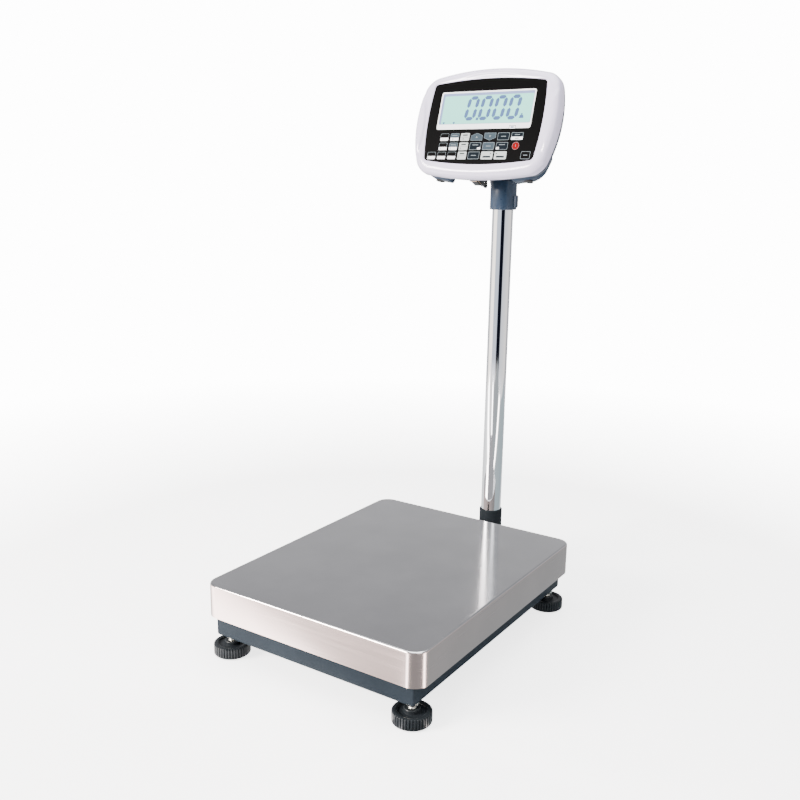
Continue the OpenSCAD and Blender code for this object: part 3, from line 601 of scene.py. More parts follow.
def base_frame():
    b = Build()
    channel(b, FRAME_W / 2, FRAME_D / 2, FRAME_Z, FRAME_Z + FRAME_H, 26, 2.5, 4.5)
    # cross beam, folded down at both edges
    end = FRAME_W / 2 - 2.6
    beam = folded(45, 37.2, 52, 4, 3)
    b.loft([[(x, y, z) for y, z in beam] for x in (-end, end)], True, True)
    # corner plates and bushes
    for sx, sy in FEET:
        cx, cy = copysign(159.4, sx), copysign(215.4, sy)
        plate = [(cx + x, cy + y) for x, y in rounded_path(21.8, 21.8, 3, 4)]
        b.loft([flat(plate, z) for z in (37.1, 41)], True, True)
        centre = at(sx, sy, 0)
        rings = turned_rings([(6.1, 34.4), (9.4, 34.4), (10, 35), (10, 51.4), (9.4, 52), (6.1, 52)], centre)
        b.loft(rings + rings[:1])
    b.piece("frame_ring", "base", "paint", PAN, ["base_frame", "cross_beam", "foot_plates"])


# ---- fasteners ----

HEX_POINTS = 72


def hexagon(across, z, cone_r):
    """A hexagon's outline cut by a cone's radius."""
    sides = [(a, across / 2 / cos((a + pi / 6) % (pi / 3) - pi / 6)) for a in around(HEX_POINTS)]
    return [(*polar(min(side, cone_r), a), z) for a, side in sides]


def hex_nut(build, across, h, hole_r, place):
    """A nut or, with no hole, a bolt head; chamfered on both faces."""
    corner = across / sqrt(3)
    low = across / 2 * 0.98
    chamfer = (corner - low) * 0.45
    rings = [hexagon(across, 0, low), hexagon(across, chamfer, corner + 0.01),
             hexagon(across, h - chamfer, corner + 0.01), hexagon(across, h, low)]
    if hole_r:
        bore = [(hole_r + 0.5, h), (hole_r, h - 0.5), (hole_r, 0.5), (hole_r + 0.5, 0)]
    else:
        bore = [(across * 0.36, h), (across * 0.33, h - 0.35)]
    rings += [circle(r, z, HEX_POINTS) for r, z in bore]
    if hole_r:
        rings += rings[:1]
    build.loft([[place @ Vector(p) for p in r] for r in rings], not hole_r, not hole_r)


def threaded(build, r, pitch, z0, z1, place=Matrix(), n=32):
    """A screw thread, its crests following a helix and fading at both ends."""
    depth = pitch * 0.5
    rings = []
    steps = int((z1 - z0) / pitch * 8)
    for k in range(steps + 1):
        z = z0 + (z1 - z0) * k / steps
        near_end = min(1.0, (z - z0 + 0.3) / 1.5, (z1 - z + 0.3) / 1.5)
        ring = []
        for i, a in enumerate(around(n)):
            wave = abs(((z / pitch - i / n) % 1) - 0.5) * 2
            rr = (r - depth * min(1, max(0, 1.25 * wave - 0.12))) - 0.8 * (1 - near_end)
            ring.append(place @ Vector((*polar(rr, a), z)))
        rings.append(ring)
    build.loft(rings, True, True)


# ---- levelling feet ----

GROOVES = 40
THREAD_R, THREAD_PITCH = 5.95, 1.75


def grip(angle, r, z):
    """The wheel's radius with its half-round grooves, which leave the bottom edge whole."""
    if r < 27.3 or z < 2.5:
        return r
    wave = abs(sin(angle * GROOVES / 2))
    depth = 1.8 * max(0.0, 1 - (wave / 0.66) ** 2)
    return r - depth * min(1, (r - 26.4) / 2.2)


WHEEL = [(5.4, 9.6), (5.4, 3.7), (22.4, 3.7), (22.6, 1.6), (26.4, 1.5), (27.8, 2.0), (28.6, 2.8),
         (29, 3.6), (29, 11), (29, 17.2), (28.9, 17.9), (28.6, 18.6), (27.8, 19.2), (26.2, 19.5),
         (22.6, 19.5), (21.6, 19.1), (21, 18.2), (20.4, 17.1), (19.2, 16.8), (13.4, 16.8),
         (12.4, 17.2), (12, 18.2), (11.8, 22), (11, 23), (6.4, 23), (6.4, 9.6)]
PAD_DISC = [(19.5, 0), (21.4, 0.25), (22, 0.9), (22, 1.3), (21.5, 1.6), (22, 1.9), (22, 2.6), (21.4, 3.2),
            (7, 3.2), (5.6, 3.5), (5, 4.2), (5, 8.2), (4.2, 9)]


def levelling_foot(index):
    x, y = FEET[index - 1]
    place = PAN @ at(x, y, 0)
    body = f"foot_screw_{index}"
    wheel = Build()
    lathe(wheel, WHEEL, 360, grip)
    wheel.piece(f"foot_wheel_{index}", body, "wheel", place, [body])
    stud = Build()
    threaded(stud, THREAD_R, THREAD_PITCH, 23.1, 62.8)
    turned(stud, [(4.6, 9.8), (6.3, 10), (6.3, 23.1), (4.9, 23.2)])
    stud.piece(f"foot_stud_{index}", body, "zinc", place)
    disc = Build()
    turned(disc, PAD_DISC, n=96)
    disc.piece(f"foot_pad_disc_{index}", f"foot_glide_{index}", "rubber", place, [f"foot_pad_{index}"])


def lock_nuts():
    b = Build()
    for x, y in FEET:
        hex_nut(b, 19, 6, 6.05, at(x, y, 28.5) @ Matrix.Rotation(0.35, 4, "Z"))
    b.piece("foot_nuts", "base", "zinc", PAN, ["foot_lock_nuts"])


# ---- column ----

ALONG_Y = Matrix.Rotation(-pi / 2, 4, "X")
SOCKET = [(19.5, 63), (21.7, 63), (21.7, 119.8), (21.4, 120.6), (20.8, 121), (20.1, 121), (19.7, 120.7),
          (19.5, 120)]
SOCKET_BOLT_Z = (80, 105)


def end_plate(build, path, mid, y_low, y_edge, y_face, shrink):
    """An upright plate, its face drawn in about mid by shrink."""
    face = [(x * shrink[0], (z - mid) * shrink[1] + mid) for x, z in path]
    build.loft([upright(path, y_low), upright(path, y_edge), upright(face, y_face)], True, True)


def column_bracket():
    front, rear = PAN_Y + FRAME_D / 2, COLUMN_Y + 30
    b = Build()
    fold = folded(32, 38, 63, 4.5, 3)
    b.loft([upright(fold, y) for y in (front + 3.6, rear - 1)], True, True)
    wall = [(x, z + 50) for x, z in rounded_path(32, 12.6, 3, 5)]
    end_plate(b, wall, 50, rear - 3, rear - 0.8, rear, (0.985, 0.97))
    flange = [(x, z + 50.5) for x, z in rounded_path(56, 13.5, 4, 6)]
    end_plate(b, flange, 50.5, front, front + 2.9, front + 3.6, (0.99, 0.95))
    b.piece("bracket_channel", "base", "charcoal", Matrix(), ["column_bracket"],
            bevel=0.5)
    socket = Build()
    lathe(socket, SOCKET, 128)
    for z in SOCKET_BOLT_Z:
        boss = at(0, 0, z) @ ALONG_Y
        turned(socket, [(8, 20.5), (8, 27.6), (7.2, 28.6), (4.1, 28.6)], boss)
    socket.piece("bracket_socket", "base", "charcoal", COLUMN)
    weld_bead()


def weld_bead():
    """The weld round the socket's foot: overlapping ripples."""
    b = Build()
    rings = []
    for i, a in enumerate(around(150)):
        size = 1.9 + 0.35 * abs(sin(i * pi / 5)) + 0.15 * noise.noise((i * 0.7, 0, 0))
        centre = Vector((*polar(21.8, a), 63.1))
        out, up = Vector((*polar(1, a), 0)), Vector((0, 0, 1))
        rings.append([centre + size * (cos(t) * out + sin(t) * up) for t in around(10)])
    b.loft(rings + rings[:1])
    b.piece("bracket_weld", "base", "charcoal", COLUMN, angle=60)


def bracket_bolts():
    across, head_h = 13, 5.3
    b = Build()
    rear_face = at(0, PAN_Y + FRAME_D / 2 + 3.6, 0)
    for x in (-44, 44):
        for z in (44, 58):
            head = rear_face @ at(x, 0, z) @ ALONG_Y
            hex_nut(b, across, head_h, 0, head)
            turned(b, [(4, -16), (4, 0)], head, 32)
    for z in SOCKET_BOLT_Z:
        head = COLUMN @ at(0, 28.7, z) @ ALONG_Y @ Matrix.Rotation(0.2, 4, "Z")
        hex_nut(b, across, head_h, 0, head)
        threaded(b, 3.95, 1.25, -9.6, 0, head, 24)
    b.piece("bracket_screws", "base", "zinc", Matrix(), ["bracket_bolts"])


def column_tube():
    b = Build()
    r_in = TUBE_R - TUBE_WALL
    profile = [(r_in, TUBE_Z)] + [(TUBE_R, TUBE_Z + 45 * k) for k in range(15)]
    profile += [(TUBE_R, TUBE_TOP - 0.5), (TUBE_R - 0.4, TUBE_TOP),
                (r_in + 0.3, TUBE_TOP), (r_in, TUBE_TOP - 0.4)]
    lathe(b, profile, 160)
    b.piece("column_pipe", "base", "chrome", COLUMN, ["column_tube"])


# ---- collar ----

COLLAR_LOW, COLLAR_TOP = 690, 741
PIVOT_R = 13


def collar():
    low, top = COLLAR_LOW, COLLAR_TOP
    b = Build()
    lathe(b, [(19.1, low + 0.6), (19.7, low), (22.8, low), (23.6, low + 0.5), (24, low + 1.4), (24, top - 2),
              (23.6, top - 0.8), (22.8, top), (14.6, top), (14, top - 0.6), (14, 738.4), (19.1, 738.4)], 128)
    b.piece("collar_sleeve", "swivel", "blue", COLUMN, ["collar"])
    for side in (-1, 1):
        cheek(side)
    tie()
    clamp_boss()


def cheek(side):
    """One arm, from the sleeve's rear up and forward to the pivot."""
    top = COLLAR_TOP
    outline = [(-12, top - 6), (20, top - 6), (20, top + 16), (PIVOT_Y + 8, PIVOT_Z + 10.2)]
    start = atan2(10.2, 8)
    end = atan2(-9.4, -9) + 2 * pi
    turns = [start + (end - start) * k / 16 for k in range(1, 17)]
    outline += [polar(PIVOT_R, t, PIVOT_Y, PIVOT_Z) for t in turns]
    outline += [(-12, top + 21)]
    b = Build()
    b.loft([[(x * side, y, z) for y, z in outline] for x in (14, 23)], True, True)
    name = f"collar_cheek_{'left' if side < 0 else 'right'}"
    add_bevel(b.piece(name, "swivel", "blue", COLUMN), 1.6, segments=3)


def tie():
    """The bar that joins the cheeks over the sleeve's rear."""
    b = Build()
    plan = [(-15, 15), (15, 15), (15, 20), (-15, 20)]
    b.loft([flat(plan, z) for z in (COLLAR_TOP - 3, COLLAR_TOP + 16)], True, True)
    b.piece("collar_tie", "swivel", "blue", COLUMN, bevel=1.2)


def clamp_boss():
    """The boss on the right that holds the set screw."""
    b = Build()
    side = [(20, 692.5), (24.5, 692.5), (28, 696), (28, 714.5), (26.5, 716), (20, 716)]
    b.loft([upright(side, y) for y in (-5, 5)], True, True)
    b.piece("collar_boss", "swivel", "blue", COLUMN, bevel=0.8)


# ---- indicator shells ----

SHELL_HALF_W, SHELL_HALF_H, SHELL_MID = 121.6, 82.1, -3.6
SHELL_R, CROWN_TOP, CROWN_LOW = 18, 16.6, 11.3
OUTLINE_STEPS, OUTLINE_EDGE = 10, 26
LEG_DROP = 13
RECESS_HALF, RECESS_R = 56, 6


def bowed(p, a, b, up, down, bulge, taper):
    """Crowned top and bottom, bulged sides, and a taper that narrows the bottom."""
    x, z = p
    crown = up if z > 0 else down
    return (x * (1 + taper * z / b) + bulge * x / a * (1 - (z / b) ** 2),
            z + crown * z / b * (1 - (x / a) ** 2))


def shell_outline(inset, steps=OUTLINE_STEPS, edge=OUTLINE_EDGE):
    a, b = SHELL_HALF_W - inset, SHELL_HALF_H - inset
    path = rounded_path(a, b, max(4, SHELL_R - inset / 3), steps, edge)
    return [(x, z + SHELL_MID)
            for x, z in (bowed(p, a, b, CROWN_TOP, CROWN_LOW, 15, 0.029) for p in path)]


def overlay_outline(inset):
    a, b = 105 - inset, 67 - inset
    path = rounded_path(a, b, max(1, 5 - inset), OUTLINE_STEPS, OUTLINE_EDGE)
    return [bowed(p, a, b, 7.5, 7.5, 5, 0.01) for p in path]


def mixed(p, q, t):
    return [(x0 + (x1 - x0) * t, z0 + (z1 - z0) * t) for (x0, z0), (x1, z1) in zip(p, q)]


def smoothstep(low, high, x):
    t = min(1, max(0, (x - low) / (high - low)))
    return t * t * (3 - 2 * t)


def relief(x, z):
    """How far the bezel's skin stands out: an oval pad in each cheek, and a brow over the display."""
    lean = 0.045 * (z + 2)
    d = ((abs(x) - 130 - lean) / 15) ** 2 + ((z + 3) / 55) ** 2
    oval = 2.2 * (1 - smoothstep(0.74, 1.16, d))
    brow_z = 84 - 9 * (x / 62) ** 2
    brow = 1.5 * exp(-((z - brow_z) / 1.9) ** 2) * (1 - smoothstep(38, 62, abs(x)))
    return oval + brow


def front_shell():
    lip = [(3, 1.6), (-0.3, 1.6), (-0.3, 0.2), (-0.5, -0.25), (-1.1, -0.5)]
    rings = [upright(overlay_outline(i), y) for i, y in lip]
    edge_inset = 12
    rim, edge = overlay_outline(-1.1), shell_outline(edge_inset)
    for k in range(1, 9):
        t = k / 8
        rings.append([(x, -0.5 - 0.5 * sin(t * pi / 2) - relief(x, z), z)
                      for x, z in mixed(rim, edge, t)])
    for k in range(1, 19):
        t = pi / 2 * k / 18
        inset, y = edge_inset * (1 - sin(t) ** 0.9), -1 + 13 * (1 - cos(t) ** 0.95)
        fade = cos(t) ** 0.5 if k < 18 else 0
        rings.append([(x, y - relief(x, z) * fade, z) for x, z in shell_outline(inset)])
    skirt = [(0, 15), (0, 17.4), (0.5, 17.9), (3, 17.9), (3, 8), (14, 4.5)]
    rings += [upright(shell_outline(i), y) for i, y in skirt]
    rings.append(upright(overlay_outline(3), 4.5))
    b = Build()
    b.loft(rings + rings[:1])
    b.piece("head_front", "head", "white", HEAD, ["front_shell"], angle=50)


def rear_shell():
    dome = [(3.2, 18.1), (1.4, 18.1), (1.0, 18.6), (1.1, 22), (1.6, 25), (2.6, 28), (4, 31), (6, 35),
            (8.2, 39), (10.4, 43), (11.8, 45.6), (13.4, 47), (16, 47.8), (20, 48), (60, 48)]
    body = solid("cover", [upright(shell_outline(i, 8, 18), y) for i, y in dome])
    legs = [[leg_ring(side, i, y) for i, y in ((14, 22), (11, 27), (11, 43), (12, 45), (14, 46))]
            for side in (-1, 1)]
    combine(body, solid("legs", *legs), "UNION")
    notch = [[recess(0) @ Vector((x, y, z)) for x, y in recess_plan()] for z in (-60, 71)]
    combine(body, solid("notch", notch), "DIFFERENCE")
    lug = [[(x, y, z) for y, z in lug_outline()] for x in (-13.7, 13.7)]
    combine(body, solid("lug", lug), "UNION")
    soften(body)
    body.name = "head_rear"
    body.data.materials.append(MAT["blue"])
    body.data.polygons.foreach_set("use_smooth", [True] * len(body.data.polygons))
    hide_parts("rear_shell")
    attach(body, "head")


def recess(x):
    """The axes of the rear's recess, which leans with its floor."""
    return at(x, 32, -79) @ Matrix.Rotation(radians(-9), 4, "X")


def leg_ring(side, inset, y):
    """The outline's lower corner, lowered, from the recess to the leg's top."""
    inner_x, top_z = RECESS_HALF + 1, -50
    kept = [i for i, (x, z) in enumerate(shell_outline(11, 12, 30))
            if z - LEG_DROP < top_z and x * side > inner_x]
    drawn_in = shell_outline(inset, 12, 30)
    return [(inner_x * side, y, top_z)] + [(drawn_in[i][0], y, drawn_in[i][1] - LEG_DROP) for i in kept]


def lug_outline():
    """The tilt lug's side, half round about the pivot."""
    arc = [polar(PIVOT_R, radians(a), HEAD_PIVOT_Y, HEAD_PIVOT_Z) for a in range(-90, 91, 10)]
    back = 36
    return [(back, HEAD_PIVOT_Z - PIVOT_R)] + arc + [(back, HEAD_PIVOT_Z + PIVOT_R)]


def recess_plan():
    """The recess's plan: wide, with rounded inner corners."""
    turns = [radians(a) for a in range(0, 91, 15)]
    r, half = RECESS_R, RECESS_HALF
    arc = [(half - r + r * sin(t), r - r * cos(t)) for t in turns]
    return arc + [(half, 60), (-half, 60)] + [(-x, y) for x, y in reversed(arc)]


def solid(name, *lofts):
    """Closed lofts of the indicator, as one plain object."""
    b = Build()
    for rings in lofts:
        b.loft(rings, True, True)
    mesh = new_mesh(name, b.verts, b.faces, HEAD)
    tidy(mesh, 60)
    return linked(name, mesh)


def applied(obj):
    """Applies the object's modifiers to its mesh."""
    depsgraph = bpy.context.evaluated_depsgraph_get()
    mesh = bpy.data.meshes.new_from_object(obj.evaluated_get(depsgraph))
    obj.modifiers.clear()
    old = obj.data
    obj.data = mesh
    bpy.data.meshes.remove(old)


def combine(a, b, operation):
    mod = a.modifiers.new("cut", "BOOLEAN")
    mod.operation = operation
    mod.object = b
    mod.solver = "EXACT"
    applied(a)
    bpy.data.objects.remove(b)


def soften(obj):
    """Remeshes a solid in 1.5 mm cells and rounds its edges, as a mould does."""
    mod = obj.modifiers.new("remesh", "REMESH")
    mod.mode = "VOXEL"
    mod.voxel_size = 1.5 * MM
    mod = obj.modifiers.new("smooth", "SMOOTH")
    mod.factor = 0.5
    mod.iterations = 5
    applied(obj)


# ---- face: display and keys ----

WINDOW_Z = 20
KEY_H = 13.8
ROWS = (-27, -43.4, -59.4)
# each digit's lit segments: top, upper left, upper right, middle, lower left, lower right, bottom
SEGMENTS = {"0": "1110111", "1": "0010010", "2": "1011101", "3": "1011011", "4": "0111010",
            "5": "1101011", "6": "1101111", "7": "1010010", "8": "1111111", "9": "1111011"}
GLASS_Y, PRINT = 0.68, 0.06


def plate(build, path, y_front, y_back, slot, edge=0.0, shrink=None):
    """A flat plate of the face, its front edge rounded when shrink(inset) gives drawn-in outlines."""
    build.slot = slot
    rings = [upright(path, y_back)]
    if shrink:
        rings += [upright(shrink(i), y_front + d) for i, d in fillet(edge, 4)]
        rings += [upright(shrink(edge + 0.3), y_front)]
    else:
        rings += [upright(path, y_front)]
    build.loft(rings, True, True)


def pad(w, h, x=0, z=0, r=1.6):
    """A small rounded rectangle about x, z."""
    path = rounded_path(w / 2, h / 2, min(r, w / 2 - 0.01, h / 2 - 0.01), 5)
    return [(x + px, z + pz) for px, pz in path]


def roof(w, h, x, z, up):
    """A house shape that points up, or down when up is -1."""
    points = [(-w / 2, -h / 2), (w / 2, -h / 2), (w / 2, h / 6), (0, h / 2), (-w / 2, h / 6)]
    return [(x + px, z + up * pz) for px, pz in points]


def segment(build, p, q, width, y, slot, lean):
    """One bar with pointed ends, from p to q, leaning as the digit does."""
    (x0, z0), (x1, z1) = p, q
    length = hypot(x1 - x0, z1 - z0)
    ux, uz = (x1 - x0) / length, (z1 - z0) / length
    h = width / 2
    points = [(0, 0), (h, -h), (length - h, -h), (length, 0), (length - h, h), (h, h)]
    path = [(x0 + a * ux - b * uz, z0 + a * uz + b * ux) for a, b in points]
    path = [(x + lean * z, z) for x, z in path]
    build.slot = slot
    build.loft([upright(path, y), upright(path, y + PRINT)], True, True)


def digit(build, value, x, z, h, y, slot, lean, bar):
    """A seven-segment digit; x is its left side and z its foot."""
    w = h * 0.52
    t = h * bar
    gap = t * 0.12
    left, right = x + t / 2, x + w - t / 2
    low, mid, high = z + t / 2, z + h / 2, z + h - t / 2
    ends = [((left, high), (right, high)), ((left, mid), (left, high)), ((right, mid), (right, high)),
            ((left, mid), (right, mid)), ((left, low), (left, mid)), ((right, low), (right, mid)),
            ((left, low), (right, low))]
    for lit, ((x0, z0), (x1, z1)) in zip(SEGMENTS[value], ends):
        if lit == "1":
            gx, gz = (gap, 0) if z0 == z1 else (0, gap)
            segment(build, (x0 + gx, z0 + gz), (x1 - gx, z1 - gz), t, y, slot, lean)


def display():
    """The window: a white rim, a step coloured with painted shadow (wider at the top and left, where the
    rim's shade falls on the glass), the glass with its digits, and a plain white strip.
    """
    b = Build()
    half_w, half_h, strip = 90.2, 33.2, 9.0

    def rim(i):
        return [(x, z + WINDOW_Z) for x, z in rounded_path(half_w - i, half_h - i, 4 - min(i, 2.5), 6)]

    def glass(left, top, right, low):
        x0, x1 = -half_w + left, half_w - right
        z0, z1 = WINDOW_Z - half_h + low, WINDOW_Z + half_h - top
        cx, cz = (x0 + x1) / 2, (z0 + z1) / 2
        return [(x + cx, z + cz) for x, z in rounded_path((x1 - x0) / 2, (z1 - z0) / 2, 2.2, 6)]

    rings = [upright(rim(i), y) for i, y in ((0, 1.4), (0, 0.25), (0.3, 0.05), (1.9, 0.05))]
    rings.append(upright(glass(2.6, 2.6, 2.4, strip), 0.12))
    made = b.loft(rings, cap_first=True)
    # Slot 1, the step down to the glass, wider at the top and left: painted shadow colour.
    b.slot = 1
    inner = b.add(upright(glass(6.6, 7.2, 3.4, strip + 0.8), 0.75))
    b.bridge(made[-1], inner)
    b.slot = 2
    b.face(inner)
    for i in range(4):
        digit(b, "0", -40.5 + 26.6 * i, 2, 42.5, GLASS_Y, 3, lean=0.13, bar=0.15)
    on_glass(b, pad(4.6, 4.6, -13.2, 4.6, 0.6))
    for x in (-78, -57.6):
        on_glass(b, [(x - 2.6, 0), (x, -4.4), (x + 2.6, 0)])
    weight(b, 70, 4)
    pointer(b, 57, -14.6)
    b.piece("display_face", "head", ["print_white", "lcd_step_painted_shadow", "mint", "segment", "key_black"], HEAD,
            ["display_window"], angle=20)


def on_glass(b, path):
    """A mark in the colour of the lit segments."""
    plate(b, path, GLASS_Y, GLASS_Y + PRINT, 3)


def weight(b, x, z):
    """A small weight for a sign: a block under a ring."""
    on_glass(b, [(x - 4.4, z), (x + 4.4, z), (x + 2.8, z + 5.4), (x - 2.8, z + 5.4)])
    on_glass(b, pad(3.4, 2.4, x, z + 6.9, 1.1))


def pointer(b, x, z):
    """The framed sign under the window's right end."""
    for w, h, r, y, slot in ((12, 6.2, 0.8, -0.02, 4), (10.4, 4.6, 0.6, -0.06, 0), (5.4, 2.2, 0.4, -0.1, 3)):
        plate(b, pad(w, h, x, z + 3.2, r), y, 0.05, slot)


# the key columns, x and width: four for digits, four for functions, and the last key's
COLUMNS = ([(-90.6 + 20.3 * k, 17.2) for k in range(4)] + [(-6.8 + 25.4 * k, 22.8) for k in range(4)]
           + [(90.2, 18)])
# key: column, row, style, mark
KEYS = {
    "7": (1, 0, "black strip", "7"), "8": (2, 0, "grey strip", "8"), "9": (3, 0, "light", "9"),
    "up": (4, 0, "up", ""), "down": (5, 0, "down", ""), "preset": (6, 0, "dark outline", "bar"),
    "units": (7, 0, "dark outline strip", "bar"),
    "4": (1, 1, "black strip", "4"), "5": (2, 1, "grey strip", "5"), "6": (3, 1, "light", "6"),
    "print": (4, 1, "dark outline", "right"), "count": (5, 1, "grey outline", "bar"),
    "gross": (6, 1, "dark outline", "left"), "on": (7, 1, "round", ""),
    "0": (0, 2, "black strip", "0"), "1": (1, 2, "black strip", "1"), "2": (2, 2, "black strip", "2"),
    "3": (3, 2, "light", "3"), "clear": (4, 2, "dark outline", "bar"), "zero": (5, 2, "light", "top_right"),
    "tare": (6, 2, "light", "top_left"), "off": (8, 2, "black outline", "bar"),
}
KEY_MATS = ["key_black", "key_dark", "key_grey", "key_light", "key_red", "outline", "print_white"]
BLACK, DARK, GREY, LIGHT, RED, LINE, WHITE = range(7)
BODIES = {"black": BLACK, "grey": GREY, "light": LIGHT, "round": RED, "up": GREY, "down": GREY}
STRIP_UP = 3.3 - KEY_H / 2
MARK_Y, MARK_BACK = -0.285, -0.1


def key_outline(style, x, z, width, inset):
    if style == "round":
        return [(x + px, z + pz) for px, pz, _ in circle(KEY_H / 2 - inset, 0, 40)]
    if style in ("up", "down"):
        return roof(width - 2 * inset, KEY_H - 2 * inset, x, z, 1 if style == "up" else -1)
    return pad(width - 2 * inset, KEY_H - 2 * inset, x, z)


def key(name, column, row, style, mark):
    """A key: its body, a line round it unless it is a light one, its strip and its marks."""
    (x, width), z = COLUMNS[column], ROWS[row]
    body = BODIES.get(style.split()[0], DARK)

    def outline(i):
        return key_outline(style, x, z, width, i)

    b = Build()
    plate(b, outline(0.15), -0.22, 0.68, body, 0.25, lambda i: outline(0.15 + i))
    if style != "light":
        plate(b, outline(0.5), -0.24, MARK_BACK, LINE)
        plate(b, outline(1.15 if "outline" in style else 0.95), -0.26, MARK_BACK, body)
    if "strip" in style:
        plate(b, pad(width - 1.6, 5.2, x, z + STRIP_UP, 0.8), -0.265, MARK_BACK, WHITE)
    marks(b, x, z, width, style, mark)
    b.piece(f"key_{name}_pad", f"key_{name}", KEY_MATS, HEAD, [f"key_{name}"])


def marks(b, x, z, width, style, mark):
    """The key's signs: a digit, a bar, an arrow or a small square."""
    def sign(path, slot, lift=0.0):
        plate(b, path, MARK_Y - lift, MARK_BACK, slot)

    def bar(w, h, px, up, r, slot, lift=0.0):
        sign(pad(w, h, px, z + up, r), slot, lift)

    if style in ("up", "down"):
        up = 1 if style == "up" else -1
        sign([(x - 2.2, z - 1.8 * up), (x + 2.2, z - 1.8 * up), (x, z + 1.4 * up)], LINE)
    elif style == "round":
        bar(0.9, 4.4, x, 0.4, 0.4, LINE)
    elif mark.isdigit():
        digit(b, mark, x - 1, z + STRIP_UP - 1.8, 3.6, MARK_Y, BLACK, 0.1, 0.17)
        if style == "light":
            bar(width * 0.56, 2.0, x, 3.2, 0.4, DARK)
            bar(width - 2.6, 0.35, x, -0.6, 0.15, DARK)
        elif style == "grey strip":
            bar(width * 0.6, 1.3, x, 2.8, 0.4, LINE)
    elif mark == "bar":
        bar(width * 0.42, 1.2, x, 2.6 if "strip" in style else 0, 0.5, LINE)
        if "strip" in style:
            bar(width * 0.3, 1.3, x, STRIP_UP, 0.4, BLACK)
    elif mark in ("left", "right"):
        square = x + (width / 2 - 4) * (1 if mark == "right" else -1)
        bar(width * 0.5, 1.2, x, 2.2, 0.5, LINE)
        bar(5.2, 3.6, square, STRIP_UP - 0.2, 0.6, WHITE)
        bar(2.2, 1.1, square, STRIP_UP - 0.2, 0.3, BLACK, lift=0.01)
    else:
        arrow = x + (width / 2 - 4.2) * (1 if mark == "top_right" else -1)
        bar(width * 0.66, 3.0, x, -2.4, 0.4, DARK)
        sign([(arrow - 1.4, z + 1.6), (arrow + 1.4, z + 3), (arrow - 1.4, z + 4.4)], BLACK)


# ---- serial plug and its cable ----

PLUG = HEAD @ recess(-17)
CABLE_R = 2.5


def block(b, w, h, y0, y1, edge, slot=0, x=0.0, z=0.0, r=1.5):
    """A block of the plug along y, its ends rounded off."""
    b.slot = slot
    turns = [pi / 6 * k for k in range(4)]
    ends = [(edge - edge * sin(t), y0 + edge * (1 - cos(t))) for t in turns]
    ends += [(i, y0 + y1 - y) for i, y in reversed(ends)]
    b.loft([upright(pad(w - 2 * i, h - 2 * i, x, z, r), y) for i, y in ends], True, True)


def serial_plug():
    """Flange, hood with its two side lines, and a ribbed grip that ends in the cable's sleeve."""
    b = Build()
    block(b, 14, 31, 1.1, 3.1, 0.4, 1, r=1.2)
    block(b, 12.8, 29, 3.1, 21.1, 1.4)
    for z in (-11.5, 11.5):
        block(b, 13.3, 1.1, 4.6, 19.6, 0.3, 1, z=z, r=0.5)
    block(b, 0.5, 24, 5.2, 19, 0.2, 1, x=-6.3, r=0.2)
    block(b, 12, 19, 20.4, 31.1, 1.2)
    for k in range(5):
        block(b, 12.5, 19.5, 21.8 + 1.8 * k, 22.9 + 1.8 * k, 0.35, 2)
    for k in range(4):
        place = at(0, 30.8 + 1.35 * k, -4) @ ALONG_Y
        turned(b, [(4, 0), (4.5, 0.3), (4.5, 0.9), (4, 1.2)], place, 32)
    b.piece("plug_body", "head", ["hood", "trim", "grip"], PLUG, ["serial_plug"])


# the plug's cable: x, y from the column's axis, z from the tube's top
PLUG_ROUTE = [(-17, -46.8, -4.6), (-17.2, -40.5, -7.8), (-18.5, -33.5, -8.5), (-20.5, -28.5, -5.5),
              (-22, -26.5, 0), (-21.5, -26, 5.5), (-18, -25, 10.5), (-12.5, -22.5, 13.5), (-7, -18, 14.5),
              (-2.5, -12.5, 13), (-0.5, -7.5, 8.5), (0, -3.5, 2), (0, -1.5, -3)]


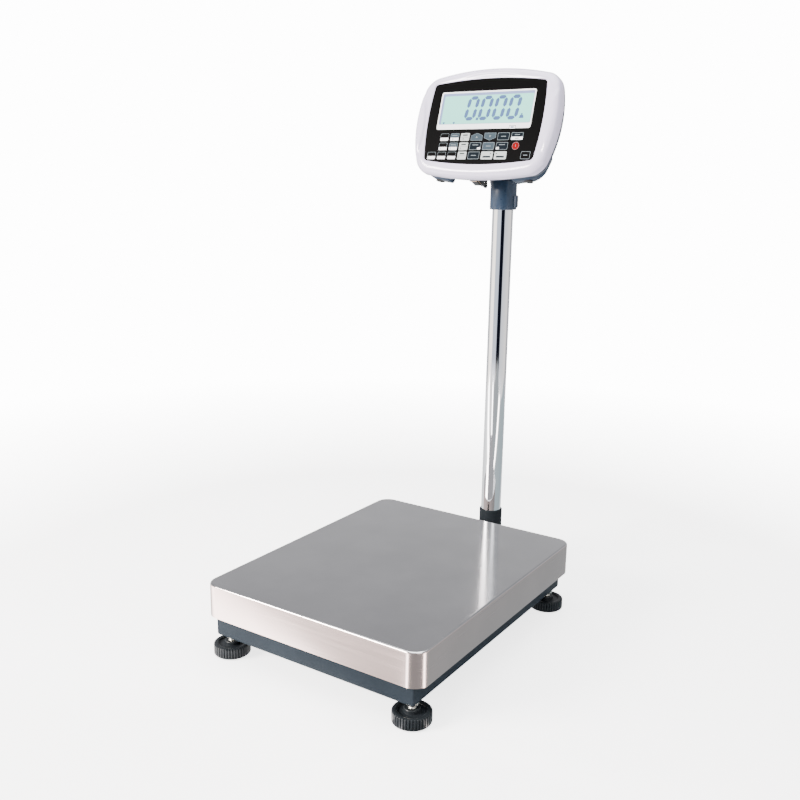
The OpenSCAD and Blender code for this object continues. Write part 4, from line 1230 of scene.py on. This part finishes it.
def smooth_route(points, n):
    """A Catmull-Rom curve through the points."""
    made = []
    for i in range(len(points) - 1):
        p0, p1, p2, p3 = (Vector(points[max(0, min(len(points) - 1, i + k))]) for k in (-1, 0, 1, 2))
        for k in range(n):
            t = k / n
            made.append(0.5 * (2 * p1 + (p2 - p0) * t + (2 * p0 - 5 * p1 + 4 * p2 - p3) * t * t
                               + (3 * p1 - p0 - 3 * p2 + p3) * t * t * t))
    return made + [Vector(points[-1])]


def plug_cable():
    """The cable, which bends between the collar and the indicator."""
    route = smooth_route(PLUG_ROUTE, 8)
    b = Build()
    side = Vector((1, 0.13, 0.21))
    rings = []
    for i, centre in enumerate(route):
        ahead = (route[min(i + 1, len(route) - 1)] - route[max(i - 1, 0)]).normalized()
        u = ahead.cross(side).normalized()
        v = ahead.cross(u)
        rings.append([centre + CABLE_R * (cos(t) * u + sin(t) * v) for t in around(16)])
    b.loft(rings, True, True)
    place = at(0, COLUMN_Y, TUBE_TOP)
    mesh_obj = b.piece("plug_lead", None, "cable", place, ["plug_cable"])
    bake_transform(mesh_obj)


# ---- carried-over CAD nodes ----

CARRIED = {
    "load_cell": ("aluminium", 0.5), "cell_spacers": ("aluminium", 0.4), "frame_bolts": ("zinc", 0.4),
    "upper_frame": ("paint", 1.2), "pan_buffers": ("rubber", 0.8),
    "cell_cable": ("cable", 0), "collar_screw": ("bolt_black", 0.2),
    "tilt_bolt": ("zinc", 0.4), "lcd_module": ("lcd_back", 0.4), "main_board": ("board", 0.2),
    "battery": ("battery", 1.5), "shell_screws": ("zinc", 0.3), "shell_feet": ("rubber", 0.6),
    "serial_socket": ("zinc", 0.3), "power_jack": ("dark", 0.5), "keypad_panel": ("overlay", 0),
}


def carry_over():
    for name, (mat, bevel) in CARRIED.items():
        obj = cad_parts[name]
        obj.data.materials.clear()
        obj.data.materials.append(MAT[mat])
        if bevel:
            add_bevel(obj, bevel)


pan_piece()
base_frame()
for number in range(1, len(FEET) + 1):
    levelling_foot(number)
lock_nuts()
column_bracket()
bracket_bolts()
column_tube()
collar()
front_shell()
rear_shell()
display()
for key_name, facts in KEYS.items():
    key(key_name, *facts)
serial_plug()
plug_cable()
carry_over()

bpy.context.view_layer.update()
